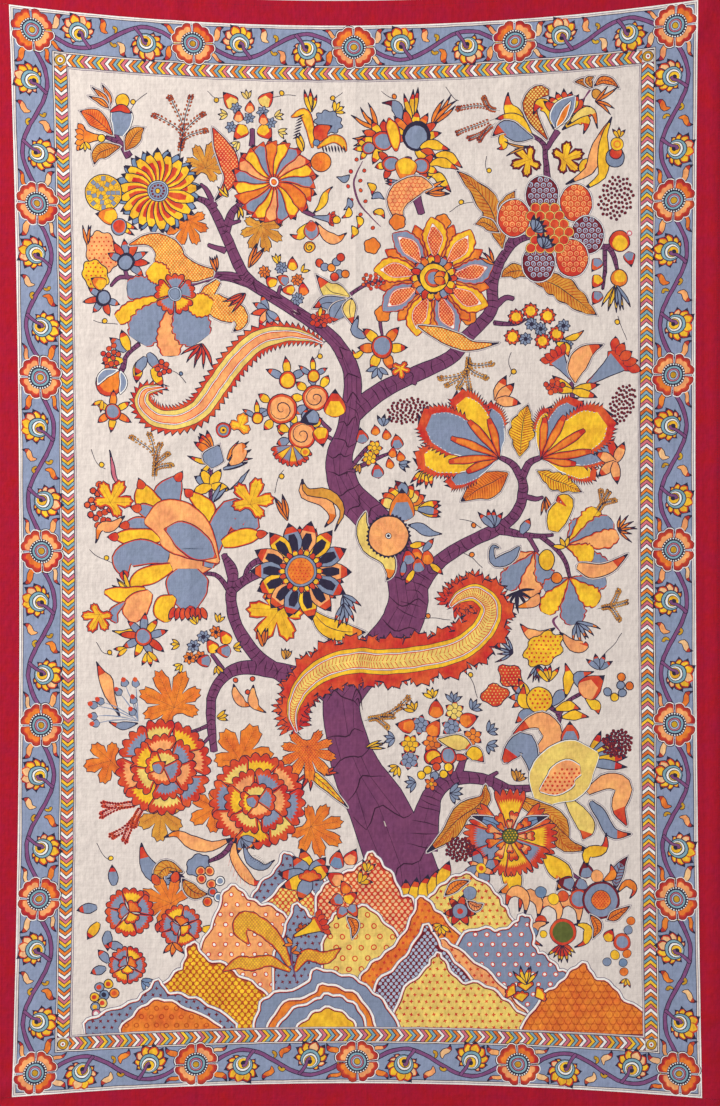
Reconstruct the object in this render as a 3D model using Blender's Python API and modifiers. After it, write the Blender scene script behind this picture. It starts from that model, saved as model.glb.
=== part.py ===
"""A painted cotton tree panel with a plain magenta cloth border, lying face up on a table.

The cloth lies flat: X runs across it, +Y runs up the painted tree, +Z comes out of its face.
The origin is under the middle of the cloth, on the surface that it lies on.
Each piece of cloth is a flat grid, laid out along the drawn-in edges of the sewn cloth,
lifted where it has a fold, and given its thickness by Solidify.
"""

import math
from collections import namedtuple

import bpy
from mathutils import Vector

# Driving dimensions, in metres.
HALF_WIDTH = 0.690  # of the painted panel, at its corners
HALF_HEIGHT = 1.095
THICKNESS = 0.0015
SEAM_GAP = 0.0004  # between two pieces that are sewn edge to edge
CELL = 0.025  # one cell of a piece's grid

# How far the middle of each edge of the painted panel is drawn in by its seam.
DRAWN_IN = {"left": 0.018, "right": 0.009, "top": 0.047, "bottom": 0.029}

# How wide the plain cloth is on each side.
BORDER_WIDTH = {"left": 0.0555, "right": 0.0562, "top": 0.0515, "bottom": 0.0548}

# The panel isn't cut quite square: how far each corner is off, across and along the cloth.
Corner = namedtuple("Corner", "across along off_x off_y")
CORNERS = (
    Corner(across=-1, along=1, off_x=-0.003, off_y=-0.006),
    Corner(across=1, along=1, off_x=-0.005, off_y=0.003),
    Corner(across=-1, along=-1, off_x=0.003, off_y=-0.001),
    Corner(across=1, along=-1, off_x=0.003, off_y=-0.003),
)

# Soft ridges where the cloth stands off the surface, each along a line from start to end.
Fold = namedtuple("Fold", "name start end half_width height")
FOLDS = (
    Fold("right border's long ridge", (0.716, -0.93), (0.716, 0.97), 0.034, 0.0050),
    Fold("pull at the top right corner", (0.716, 1.12), (0.690, 1.05), 0.032, 0.0040),
    Fold("pull at the bottom right corner", (0.705, -1.00), (0.722, -1.09), 0.030, 0.0040),
    Fold("upper pull at the bottom left corner", (-0.735, -1.09), (-0.640, -1.05), 0.032, 0.0040),
    Fold("lower pull at the bottom left corner", (-0.715, -1.14), (-0.610, -1.10), 0.032, 0.0035),
    Fold("crease down the middle", (0.002, -1.04), (-0.004, 1.02), 0.030, 0.0014),
    Fold("crease across the lower third", (-0.62, -0.552), (0.63, -0.548), 0.030, 0.0012),
    Fold("ripple by the upper trunk", (-0.17, 0.43), (-0.04, 0.55), 0.045, 0.0032),
    Fold("ripple beside the serpent leaf", (-0.32, 0.26), (-0.41, 0.17), 0.040, 0.0030),
    Fold("upright ripple at the left", (-0.331, 0.04), (-0.333, -0.12), 0.038, 0.0026),
    Fold("upright ripple below it", (-0.360, -0.17), (-0.362, -0.26), 0.038, 0.0022),
    Fold("ripple over the hills", (-0.37, -0.83), (-0.34, -0.93), 0.040, 0.0024),
    Fold("ripple in the lower right", (0.40, -0.20), (0.47, -0.33), 0.042, 0.0024),
    Fold("ripple under the top border", (0.31, 0.90), (0.33, 1.05), 0.036, 0.0022),
    Fold("pucker on the top seam", (-0.361, 1.03), (-0.359, 1.10), 0.030, 0.0026),
    Fold("pucker on the bottom seam", (0.360, -1.04), (0.364, -1.10), 0.030, 0.0026),
)

CREAM = (0.79, 0.67, 0.60, 1.0)
MAGENTA = (0.36, 0.012, 0.07, 1.0)


def clear_scene():
    for obj in list(bpy.data.objects):
        bpy.data.objects.remove(obj, do_unlink=True)


def lay(across, along):
    """The place on the surface of a point of the cloth, where the painted panel is -1 to 1 each way."""
    slack_x = 1 - along * along
    slack_y = 1 - across * across
    left = -HALF_WIDTH + DRAWN_IN["left"] * slack_x
    right = HALF_WIDTH - DRAWN_IN["right"] * slack_x
    bottom = -HALF_HEIGHT + DRAWN_IN["bottom"] * slack_y
    top = HALF_HEIGHT - DRAWN_IN["top"] * slack_y
    x = left + (right - left) * (across + 1) / 2
    y = bottom + (top - bottom) * (along + 1) / 2
    for corner in CORNERS:
        share = (1 + corner.across * across) * (1 + corner.along * along) / 4
        x += share * corner.off_x
        y += share * corner.off_y
    return x, y


def rise(x, y):
    """How far the cloth stands off the surface here: its folds, each with soft feet and soft ends."""
    height = 0.0
    for fold in FOLDS:
        start = Vector(fold.start)
        run = Vector(fold.end) - start
        along = min(1.0, max(0.0, (Vector((x, y)) - start).dot(run) / run.length_squared))
        away = (Vector((x, y)) - start - run * along).length / fold.half_width
        if away < 1:
            height = max(height, fold.height * (0.5 + 0.5 * math.cos(math.pi * away)))
    return height


def cloth_material(name, colour):
    material = bpy.data.materials.new(name)
    material.use_nodes = True
    shader = material.node_tree.nodes["Principled BSDF"]
    shader.inputs["Base Color"].default_value = colour
    shader.inputs["Roughness"].default_value = 0.85
    shader.inputs["Metallic"].default_value = 0.0
    return material


def cloth_piece(name, across, along, material, collection):
    """One piece of cloth, between two places across it and two along it."""
    wide = (across[1] - across[0]) * HALF_WIDTH
    tall = (along[1] - along[0]) * HALF_HEIGHT
    bpy.ops.mesh.primitive_grid_add(
        x_subdivisions=max(2, round(wide / CELL)),
        y_subdivisions=max(2, round(tall / CELL)),
        size=2.0,
    )
    piece = bpy.context.active_object
    piece.name = name
    for point in piece.data.vertices:
        here_across = across[0] + (across[1] - across[0]) * (point.co.x + 1) / 2
        here_along = along[0] + (along[1] - along[0]) * (point.co.y + 1) / 2
        x, y = lay(here_across, here_along)
        point.co = (x, y, rise(x, y))
    thicken = piece.modifiers.new("Thickness", "SOLIDIFY")
    thicken.thickness = THICKNESS
    thicken.offset = 1.0
    piece.data.materials.append(material)
    for holder in list(piece.users_collection):
        holder.objects.unlink(piece)
    collection.objects.link(piece)
    return piece


def build():
    clear_scene()
    collection = bpy.data.collections.new("tree_panel")
    bpy.context.scene.collection.children.link(collection)
    painted = cloth_material("painted_cotton", CREAM)
    plain = cloth_material("magenta_cotton", MAGENTA)

    gap_x = SEAM_GAP / HALF_WIDTH
    gap_y = SEAM_GAP / HALF_HEIGHT
    far_left = -1 - BORDER_WIDTH["left"] / HALF_WIDTH
    far_right = 1 + BORDER_WIDTH["right"] / HALF_WIDTH
    far_bottom = -1 - BORDER_WIDTH["bottom"] / HALF_HEIGHT
    far_top = 1 + BORDER_WIDTH["top"] / HALF_HEIGHT

    cloth_piece("painted_panel", (-1, 1), (-1, 1), painted, collection)
    cloth_piece("border_left", (far_left, -1 - gap_x), (-1, 1), plain, collection)
    cloth_piece("border_right", (1 + gap_x, far_right), (-1, 1), plain, collection)
    cloth_piece("border_bottom", (far_left, far_right), (far_bottom, -1 - gap_y), plain, collection)
    cloth_piece("border_top", (far_left, far_right), (1 + gap_y, far_top), plain, collection)


build()
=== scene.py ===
# %% [markdown]
# # A painted cotton tree panel, sewn into a plain magenta border
# The real cloth is a length of cream cotton with a flowering tree drawn on it in ink and filled in
# with dye. Four strips of plain cotton are sewn to its edges. It lies face up on a table.
#
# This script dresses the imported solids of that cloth. Every place in it is either in metres, in the
# frame of those solids, or, for the drawing, in centimetres from the middle of the cloth.

# %% Load the frame
import cmath
import math
import random

import bpy
import numpy as np
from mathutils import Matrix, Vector
from mathutils.geometry import delaunay_2d_cdt


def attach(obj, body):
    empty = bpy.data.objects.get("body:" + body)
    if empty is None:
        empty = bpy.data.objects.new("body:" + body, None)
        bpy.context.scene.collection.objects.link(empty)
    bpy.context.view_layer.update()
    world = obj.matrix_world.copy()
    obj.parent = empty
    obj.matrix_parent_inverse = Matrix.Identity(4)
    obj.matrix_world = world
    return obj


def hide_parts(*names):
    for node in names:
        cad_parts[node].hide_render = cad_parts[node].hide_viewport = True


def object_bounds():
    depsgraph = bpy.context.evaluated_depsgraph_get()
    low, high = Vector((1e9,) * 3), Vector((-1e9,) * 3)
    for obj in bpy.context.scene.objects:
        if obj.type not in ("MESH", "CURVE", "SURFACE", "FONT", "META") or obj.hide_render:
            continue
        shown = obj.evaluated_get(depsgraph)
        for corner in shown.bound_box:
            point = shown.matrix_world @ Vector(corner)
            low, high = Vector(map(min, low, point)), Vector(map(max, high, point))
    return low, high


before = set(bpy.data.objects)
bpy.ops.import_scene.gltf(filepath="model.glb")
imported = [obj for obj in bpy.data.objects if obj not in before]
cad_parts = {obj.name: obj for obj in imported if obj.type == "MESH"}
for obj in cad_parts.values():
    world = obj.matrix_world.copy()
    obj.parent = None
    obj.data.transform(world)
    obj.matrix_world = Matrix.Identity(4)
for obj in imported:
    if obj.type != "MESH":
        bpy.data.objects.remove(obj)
CAD_LOW, CAD_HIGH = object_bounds()
print("solids", [round(side, 4) for side in CAD_HIGH - CAD_LOW], "m")

# %% [markdown]
# ## The camera, the table and the light
# A flat cloth shown face on wants a camera straight above it, with the top of the tree at the top of
# the picture. Most of the light comes from one broad source at the upper left, with a faint one
# opposite and a little from all round, so that the folds show but throw no hard shadow.

# %% Camera
VIEW_CENTRE = Vector((0.009, -0.008, 0.0))
VIEW_TALL = 2.212  # metres of cloth from the top of the picture to its bottom
CAMERA_HEIGHT = 6.5

scene = bpy.context.scene
scene.view_settings.view_transform = "Standard"
camera = bpy.data.objects.new("camera", bpy.data.cameras.new("camera"))
scene.collection.objects.link(camera)
camera.location = VIEW_CENTRE + Vector((0, 0, CAMERA_HEIGHT))
camera.data.sensor_width = 36.0
camera.data.lens = camera.data.sensor_width * CAMERA_HEIGHT / VIEW_TALL
scene.camera = camera
print("lens", round(camera.data.lens, 1), "mm")


# %% A helper for node trees
def node(tree, kind, settings=None, **inputs):
    """Adds a node. Inputs are values, or sockets to link from; an underscore stands for a space."""
    made = tree.nodes.new(kind)
    for name, value in (settings or {}).items():
        setattr(made, name, value)
    for name, value in inputs.items():
        by_number = name[0] == "i" and name[1:].isdigit()
        socket = made.inputs[int(name[1:]) if by_number else name.replace("_", " ")]
        if isinstance(value, bpy.types.NodeSocket):
            tree.links.new(value, socket)
        else:
            socket.default_value = value
    return made


def linear(red, green, blue):
    """The colour that a shader wants, from one read off a dye card as 0 to 255."""
    share = [v / 255 for v in (red, green, blue)]
    return [v / 12.92 if v <= 0.04045 else ((v + 0.055) / 1.055) ** 2.4 for v in share] + [1.0]


# %% Table and light
TABLE_SIDE = 14.0
bpy.ops.mesh.primitive_plane_add(size=TABLE_SIDE, location=(0, 0, CAD_LOW.z - 0.0005))
table = bpy.context.active_object
table.name = "table_top"
table_paint = bpy.data.materials.new("table_paint")
table_paint.use_nodes = True
table_paint.node_tree.nodes["Principled BSDF"].inputs["Base Color"].default_value = linear(226, 224, 220)
table_paint.node_tree.nodes["Principled BSDF"].inputs["Roughness"].default_value = 0.8
table.data.materials.append(table_paint)


def area_light(name, place, size, power, colour=(1.0, 1.0, 1.0)):
    light = bpy.data.lights.new(name, "AREA")
    light.size = size
    light.energy = power
    light.color = colour
    lamp = bpy.data.objects.new(name, light)
    scene.collection.objects.link(lamp)
    lamp.location = place
    lamp.rotation_euler = (-Vector(place)).to_track_quat("-Z", "Y").to_euler()


area_light("window_side", (-4.2, 2.2, 3.0), 2.0, 258.0, (1.0, 0.985, 0.96))
area_light("far_side", (4.5, -1.5, 4.5), 3.0, 34.0, (0.95, 0.97, 1.0))
world = bpy.data.worlds.new("soft_room")
world.use_nodes = True
world.node_tree.nodes["Background"].inputs["Color"].default_value = (0.93, 0.95, 1.0, 1.0)
world.node_tree.nodes["Background"].inputs["Strength"].default_value = 0.53
scene.world = world

# %% [markdown]
# ## How the cloth lies
# The seams draw the middle of each edge of the panel in, so the cloth isn't a true rectangle. `lay`
# says where a point of the flat cloth ends up. It is the same rule that shaped the solids.
# `rise` says how far the cloth stands off the table there. It repeats the solids' own soft folds and
# adds the small sharp creases of a cloth that was kept folded.

# %% Where the cloth goes
HALF_WIDTH, HALF_HEIGHT = 69.0, 109.5  # of the painted panel, in centimetres, at its corners
DRAWN_IN = {"left": 1.8, "right": 0.9, "top": 4.7, "bottom": 2.9}
BORDER_WIDTH = {"left": 5.55, "right": 5.62, "top": 5.15, "bottom": 5.48}
CORNERS = ((-1, 1, -0.3 - 0.6j), (1, 1, -0.5 + 0.3j), (-1, -1, 0.3 - 0.1j), (1, -1, 0.3 - 0.3j))
SEAM_GAP = 0.04


def lay(flat):
    """Where points of the flat cloth lie on the table. Points are complex numbers, x + y * 1j."""
    across, along = flat.real / HALF_WIDTH, flat.imag / HALF_HEIGHT
    slack_x, slack_y = 1 - along * along, 1 - across * across
    left = -HALF_WIDTH + DRAWN_IN["left"] * slack_x
    right = HALF_WIDTH - DRAWN_IN["right"] * slack_x
    bottom = -HALF_HEIGHT + DRAWN_IN["bottom"] * slack_y
    top = HALF_HEIGHT - DRAWN_IN["top"] * slack_y
    laid = left + (right - left) * (across + 1) / 2 + 1j * (bottom + (top - bottom) * (along + 1) / 2)
    for corner_across, corner_along, off in CORNERS:
        laid = laid + (1 + corner_across * across) * (1 + corner_along * along) / 4 * off
    return laid


# %% How the cloth rises: start, end, half width and height, in centimetres
FOLDS = (
    (71.6 - 93.0j, 71.6 + 97.0j, 3.4, 0.50),
    (71.6 + 112.0j, 69.0 + 105.0j, 3.2, 0.40),
    (70.5 - 100.0j, 72.2 - 109.0j, 3.0, 0.40),
    (-73.5 - 109.0j, -64.0 - 105.0j, 3.2, 0.40),
    (-71.5 - 114.0j, -61.0 - 110.0j, 3.2, 0.35),
    (0.2 - 104.0j, -0.4 + 102.0j, 3.0, 0.14),
    (-62.0 - 55.2j, 63.0 - 54.8j, 3.0, 0.12),
    (-17.0 + 43.0j, -4.0 + 55.0j, 4.5, 0.32),
    (-32.0 + 26.0j, -41.0 + 17.0j, 4.0, 0.30),
    (-33.1 + 4.0j, -33.3 - 12.0j, 3.8, 0.26),
    (-36.0 - 17.0j, -36.2 - 26.0j, 3.8, 0.22),
    (-37.0 - 83.0j, -34.0 - 93.0j, 4.0, 0.24),
    (40.0 - 20.0j, 47.0 - 33.0j, 4.2, 0.24),
    (31.0 + 90.0j, 33.0 + 105.0j, 3.6, 0.22),
    (-36.1 + 103.0j, -35.9 + 110.0j, 3.0, 0.26),
    (36.0 - 104.0j, 36.4 - 110.0j, 3.0, 0.26),
)
CREASES = (
    (-36.2 + 105.4j, -35.9 + 114.0j, 0.7, 0.12),
    (-11.3 + 104.6j, -11.3 + 110.4j, 0.8, -0.10),
    (-1.2 + 104.8j, -0.2 + 110.4j, 0.6, 0.16),
    (2.6 + 104.6j, 2.0 + 110.4j, 0.7, -0.10),
    (32.8 + 106.0j, 33.2 + 113.0j, 0.7, 0.12),
    (-33.2 - 107.2j, -33.0 - 113.0j, 0.7, 0.12),
    (36.0 - 107.4j, 35.6 - 113.0j, 0.7, 0.14),
    (41.0 - 107.6j, 41.2 - 113.0j, 0.7, -0.10),
    (70.0 - 95.0j, 70.2 + 100.0j, 1.1, -0.18),
    (-70.0 + 87.0j, -74.0 + 90.0j, 0.6, 0.08),
    (-71.6 - 108.0j, -66.0 - 103.6j, 0.8, 0.10),
    (-68.0 - 110.4j, -62.0 - 107.6j, 0.8, 0.10),
    (-17.5 + 42.0j, -3.0 + 56.0j, 0.8, 0.08),
    (-31.5 + 27.0j, -41.5 + 16.5j, 0.8, 0.07),
    (-33.0 + 6.0j, -33.4 - 13.0j, 0.7, 0.07),
    (-36.0 - 16.0j, -36.3 - 27.0j, 0.7, 0.06),
    (0.1 - 100.0j, 0.0 + 98.0j, 0.5, 0.05),
    (6.5 - 35.0j, 8.0 - 38.5j, 0.8, 0.06),
    (1.0 - 9.0j, 0.2 - 14.5j, 0.8, 0.06),
    (2.6 - 1.8j, 4.2 - 4.0j, 0.8, 0.05),
    (-36.6 - 82.0j, -35.2 - 89.0j, 0.8, 0.06),
)


def rise(spots):
    """How far the underside of the cloth is off the table, for an array of places."""
    height = np.zeros(len(spots))
    for start, end, half_width, tall in FOLDS:
        run = end - start
        along = np.clip(((spots - start) * run.conjugate()).real / abs(run) ** 2, 0, 1)
        away = np.minimum(abs(spots - start - along * run) / half_width, 1)
        height = np.maximum(height, tall * (0.5 + 0.5 * np.cos(np.pi * away)))
    for start, end, half_width, tall in CREASES:
        run = end - start
        along = ((spots - start) * run.conjugate()).real / abs(run) ** 2
        away = np.minimum(abs(spots - start - np.clip(along, 0, 1) * run) / half_width, 1)
        fade = np.clip(np.minimum(along, 1 - along) * 4 + 0.3, 0, 1)
        height = height + tall * fade * (1 - away) ** 2 * (1 + 2 * away)
    return np.maximum(height, 0)


print("top edge is drawn in by", round(HALF_HEIGHT - float(lay(np.array([109.5j])).imag[0]), 2), "cm")

# %% [markdown]
# ## The drawing kit
# On the real cloth each motif is drawn with a reed pen and filled in with dye. Here each motif is a
# few closed outlines, made by formulas and laid one over another like cut paper: first the inked
# shape, then the dyed shape a pen's width inside it, then what is drawn on that. A later outline
# covers an earlier one. At the end all of them are cut into one flat mesh, so the drawing is part of
# the cloth and the edge of every line stays sharp, however near one looks.
#
# Outlines are arrays of complex numbers: adding one moves a shape, and multiplying turns and sizes it.

# %% The dyes
DYES = {
    "cream": (228, 213, 203), "ground": (142, 154, 178), "ink": (46, 40, 62), "line": (112, 98, 122),
    "purple": (122, 64, 102), "bark": (60, 28, 52), "vine": (132, 78, 124), "grey": (134, 146, 168),
    "blue": (118, 142, 170), "pale_blue": (176, 190, 208), "teal": (132, 172, 182),
    "orange": (236, 118, 48), "peach": (249, 162, 104), "apricot": (246, 188, 136),
    "yellow": (247, 184, 48), "straw": (240, 200, 108), "red": (214, 58, 46), "ochre": (216, 140, 58),
    "rust": (190, 74, 34), "maroon": (118, 30, 48), "rose": (214, 112, 130), "white": (246, 240, 232),
    "olive": (98, 102, 48), "crimson": (182, 46, 48), "brass": (206, 150, 40),
}

# %% Adding outlines to the drawing
outlines = []  # each is the points, the dye, and the number of the outline that it is cut off at


def wobble(spots):
    """The unevenness of a hand: a drift of under a millimetre that neighbours share."""
    x, y = spots.real, spots.imag
    slow = np.sin(0.9 * x + 1.7 * y) + 1j * np.sin(1.3 * x - 0.8 * y + 2.0)
    quick = np.sin(3.1 * x + 2.2 * y) + 1j * np.cos(2.7 * y - 1.9 * x)
    return spots + 0.045 * slow + 0.025 * quick


def fill(outline, dye, inside=None):
    """Lays a flat shape on the drawing and says its number.

    The cutting takes the left of an outline's last edge as its inside. So the outline goes round
    anticlockwise, and its longest edge, which isn't in a small loop of it, comes last.
    """
    outline = wobble(np.asarray(outline, complex))
    if (np.roll(outline, 1).conjugate() * outline).imag.sum() < 0:
        outline = outline[::-1]
    outline = np.roll(outline, -int(abs(outline - np.roll(outline, 1)).argmax()))
    outlines.append((outline, dye, inside))
    return len(outlines) - 1


def grow(outline, by):
    """The outline moved outwards, or inwards where by is negative."""
    after, before = np.roll(outline, -1), np.roll(outline, 1)
    turned = (before.conjugate() * outline).imag.sum()
    run = after - before
    out = -1j * run / np.maximum(abs(run), 1e-9) * (1 if turned > 0 else -1)
    return outline + by * out


PEN = 0.2


def draw(outline, dye, ink="ink", pen=PEN, inside=None):
    """A dyed shape with an inked line round it."""
    outline = np.asarray(outline, complex)
    if pen:
        fill(grow(outline, pen / 2), ink, inside)
    return fill(grow(outline, -pen / 2), dye, inside)


# %% Round shapes
def turns(count):
    return np.exp(2j * np.pi * np.arange(count) / count)


def ball(centre, radius, count=None, squash=1.0, lean=0.0):
    """A round or oval outline; lean turns it, in degrees."""
    around = turns(count or max(8, min(28, int(10 + radius * 5))))
    shape = around.real + 1j * around.imag * squash
    return centre + radius * shape * cmath.rect(1, math.radians(lean))


def frilled(centre, radius, lobes, depth, count=None, lean=0.0, squash=1.0):
    """A round outline with a scalloped edge: its lobes bulge and the notches between are sharp."""
    count = count or lobes * 5
    angle = 2 * np.pi * np.arange(count) / count
    reach = 1 - depth + depth * abs(np.cos(angle * lobes / 2))
    shape = reach * (np.cos(angle) + 1j * squash * np.sin(angle))
    return centre + radius * shape * cmath.rect(1, math.radians(lean))


# %% Shapes that follow a line: petals, leaves, stems and branches
def curve(points, steps):
    """A smooth line through a few points, which may carry widths as well."""
    points = np.asarray(points)
    if len(points) == 2:
        share = np.linspace(0, 1, steps)
        return points[0] + (points[1] - points[0]) * share
    padded = np.concatenate([[2 * points[0] - points[1]], points, [2 * points[-1] - points[-2]]])
    place = np.linspace(0, len(points) - 1 - 1e-9, steps)
    k = place.astype(int)
    t = place - k
    a, b, c, d = (padded[k + n] for n in range(4))
    square, cube = 2 * a - 5 * b + 4 * c - d, 3 * b - a - 3 * c + d
    return 0.5 * (2 * b + (c - a) * t + square * t ** 2 + cube * t ** 3)


class Blade:
    """A middle line with a half width at each point of it."""

    def __init__(self, spine, widths, steps=12):
        self.mid = curve(np.asarray(spine, complex), steps)
        self.half = np.maximum(curve(np.asarray(widths, float), steps), 0.0)
        run = np.gradient(self.mid)
        self.out = 1j * run / np.maximum(abs(run), 1e-9)

    def at(self, share, side=0.0):
        """The point this far along, from 0 to 1, and this far across, from -1 to 1."""
        steps = np.linspace(0, 1, len(self.mid))
        mid = np.interp(share, steps, self.mid.real) + 1j * np.interp(share, steps, self.mid.imag)
        out = np.interp(share, steps, self.out.real) + 1j * np.interp(share, steps, self.out.imag)
        return mid + out * side * np.interp(share, steps, self.half)

    def edge(self, by=0.0, teeth=0, bite=0.0):
        """The outline, grown by this much; teeth is how many scallops each side has."""
        half = self.half + by
        keep = half > 0.015
        mid, out, half = self.mid[keep], self.out[keep], half[keep]
        if teeth:
            share = np.linspace(0, 1, len(mid))
            half = half * (1 - bite + bite * abs(np.sin(np.pi * teeth * share)))
        if by > 0:
            ends = (mid[-1] - mid[-2], mid[0] - mid[1])
            tip, heel = (end / max(abs(end), 1e-9) * by * 1.5 for end in ends)
            mid = np.concatenate([[mid[0] + heel], mid, [mid[-1] + tip]])
            out = np.concatenate([out[:1], out, out[-1:]])
            half = np.concatenate([[0.02], half, [0.02]])
        return np.concatenate([mid - out * half, (mid + out * half)[::-1]])


def draw_blade(blade, dye, ink="ink", pen=PEN, inside=None, echo=False):
    if echo:
        fill(blade.edge(0.62), "line", inside)
        fill(blade.edge(0.48), "cream", inside)
    fill(blade.edge(pen / 2), ink, inside)
    return fill(blade.edge(-pen / 2), dye, inside)


def stroke(points, width, dye="ink", steps=14, inside=None, taper=True):
    """A single line of the pen."""
    ends = (0.35, 1.0, 1.0, 0.3) if taper else (1.0, 1.0)
    half = np.interp(np.linspace(0, 1, len(points)), np.linspace(0, 1, len(ends)), ends) * width / 2
    line = Blade(points, half, steps)
    return fill(np.concatenate([line.mid - line.out * line.half,
                                (line.mid + line.out * line.half)[::-1]]), dye, inside)


print(len(DYES), "dyes")

# %% [markdown]
# ## The drawn borders
# Round the field runs a band of chevrons in five colours, and outside it a blue ground with a purple
# vine, which passes behind a rosette and then winds past two lotus flowers to the next rosette. Every
# side is drawn lying along the x axis, with the panel's edge on the +y side, and put in its place by
# `on_side`, so one set of motifs serves the whole border.

# %% The sides
EDGE_LINE = 0.7  # how wide the pale edge of the panel is
GROUND_DEEP = 8.4  # from the panel's edge to the inner side of the blue ground
ROSETTE_IN = 4.5  # from the panel's edge to the middle of a rosette
BAND_START, BAND_END = 8.75, 11.15  # the chevron band
FIELD_START = 11.7


def on_side(side, local):
    """Puts points drawn along a side, x along it and y towards the panel's edge, on the table."""
    local = np.asarray(local, complex)
    depth = ROSETTE_IN - local.imag
    flat = {
        "top": local.real + 1j * (HALF_HEIGHT - depth),
        "bottom": -local.real + 1j * (-HALF_HEIGHT + depth),
        "left": -HALF_WIDTH + depth + 1j * local.real,
        "right": HALF_WIDTH - depth - 1j * local.real,
    }[side]
    return lay(flat)


def frame_outline(depth):
    """The panel's outline, this far in from its edge."""
    wide, tall = HALF_WIDTH - depth, HALF_HEIGHT - depth
    across, along = np.linspace(-wide, wide, 47)[:-1], np.linspace(-tall, tall, 71)[:-1]
    loop = (across - 1j * tall, wide + 1j * along, -across + 1j * tall, -wide - 1j * along)
    return lay(np.concatenate(loop))


# %% Grounds, one inside the other
panel = fill(frame_outline(0.0), "white")
outlines[panel] = (frame_outline(0.0), "white", None)
for depth, dye in (
    (0.28, "line"), (0.40, "cream"), (EDGE_LINE, "ink"), (EDGE_LINE + 0.14, "ground"),
    (GROUND_DEEP - 0.14, "ink"), (GROUND_DEEP, "cream"), (BAND_START - 0.12, "ink"),
    (BAND_END + 0.1, "cream"), (FIELD_START - 0.42, "line"), (FIELD_START - 0.3, "cream"),
    (FIELD_START - 0.12, "line"), (FIELD_START, "cream"),
):
    FIELD = fill(frame_outline(depth), dye)

# %% Chevrons
CHEVRON_PITCH = 0.81
CHEVRON_DYES = ("orange", "teal", "yellow", "rose", "white")


def chevron_band(side, half_length):
    """Stripes that point along -x, from one corner square to the next."""
    middle = ROSETTE_IN - (BAND_START + BAND_END) / 2
    half = (BAND_END - BAND_START) / 2
    reach = half_length - BAND_END
    count = int(2 * reach / CHEVRON_PITCH)
    pitch = 2 * reach / count
    thick = pitch * 0.74
    for k in range(-3, count + 1):
        x = -reach + (k + 0.5) * pitch
        tail = x + half * 0.85
        stripe = (x + 1j * middle, tail + 1j * (middle - half), tail + thick + 1j * (middle - half),
                  x + thick + 1j * middle, tail + thick + 1j * (middle + half), tail + 1j * (middle + half))
        fill(on_side(side, stripe), CHEVRON_DYES[k % 5])


for side, half_length in (("top", HALF_WIDTH), ("left", HALF_HEIGHT)):
    chevron_band(side, half_length)
for side, half_length in (("bottom", HALF_WIDTH), ("right", HALF_HEIGHT)):
    chevron_band(side, half_length)
for across in (-1, 1):
    for along in (-1, 1):
        depth = (BAND_START + BAND_END) / 2
        corner = lay(np.array([across * (HALF_WIDTH - depth) + 1j * along * (HALF_HEIGHT - depth)]))[0]
        fill(ball(corner, 1.78, 4, lean=45), "ink")
        fill(ball(corner, 1.66, 4, lean=45), "cream")
        for radius, dye in ((1.14, "ink"), (1.0, "brass"), (0.6, "ink"), (0.5, "white"), (0.24, "crimson")):
            fill(ball(corner, radius, 18), dye)
print(len(outlines), "outlines with the chevrons")


# %% The rosette
ROSETTE_REACH = 4.2


def rosette(side, x):
    """Four petals with three scallops each, round a beaded and ringed middle."""
    def put(local, dye, inside=None):
        return fill(on_side(side, x + 1.13 * np.asarray(local)), dye, inside)

    angle = np.linspace(-44, 44, 13)
    scallop = abs(np.cos(np.radians((angle + 44) / 88 * 3 * 180 - 90)))
    lean = random.uniform(-4, 4)
    for quarter in (45, 135, 225, 315):
        warm = random.choice(("peach", "orange", "peach"))
        for share, squeeze, dye in ((1.0, 1.0, "ink"), (0.965, 0.97, "white"), (0.93, 0.94, "maroon"),
                                    (0.9, 0.92, "crimson"), (0.8, 0.86, "red"), (0.74, 0.83, warm)):
            way = np.exp(1j * np.radians(angle * squeeze + quarter + lean))
            rim = way * ROSETTE_REACH * share * (0.91 + 0.09 * scallop)
            put(np.concatenate([rim, way[::-6] * 1.6]), dye)
    for radius, dye, count in (
        (2.16, "ink", 20), (1.74, "ink", 18), (1.6, "teal", 18), (1.28, "ink", 16), (1.14, "rose", 16),
        (1.0, "line", 14), (0.84, "pale_blue", 14), (0.64, "ink", 12), (0.52, "brass", 10),
    ):
        put(radius * turns(count), dye)
    for spot in turns(26) * 1.96:
        put(spot + 0.15 * turns(5), "white")


# %% The lotus of the border
def border_lotus(side, centre, facing):
    """Nine pointed petals round a set of crescents that open towards the vine, on the side it faces."""
    def put(local, dye, inside=None):
        return fill(on_side(side, centre + 1.2 * np.asarray(local)), dye, inside)

    away = cmath.phase(-facing)
    for k in (0, 8, 1, 7, 2, 6, 3, 5, 4):
        angle = away + math.radians((k - 4) * 32 + random.uniform(-3, 3))
        tall = (2.05, 2.0, 1.8, 1.4, 0.95)[abs(k - 4)]
        way = cmath.rect(1, angle)
        petal = Blade(
            [way * 1.3, way * (1.3 + tall * 0.45), way * (1.3 + tall) * cmath.rect(1, 0.1)],
            [0.26 * tall + 0.1, 0.4 * tall + 0.06, 0.0], 6)
        put(petal.edge(0.13), "ink")
        put(petal.edge(-0.04), random.choice(("red", "crimson")))
        core = Blade([way * 1.3, way * (1.3 + tall * 0.4), way * (1.3 + tall * 0.74)],
                     [0.26 * tall, 0.34 * tall, 0.05], 5)
        put(core.edge(-0.02), random.choice(("yellow", "yellow", "apricot")))
    lean = facing / abs(facing)
    for radius, shift, dye in ((1.74, 0.0, "ink"), (1.58, 0.0, "teal"), (1.3, 0.16, "ink"),
                               (1.18, 0.22, "white"),
                               (0.96, 0.34, "ink"), (0.86, 0.38, "yellow"), (0.44, 0.46, "ink")):
        put(lean * shift + radius * turns(16), dye)


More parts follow.
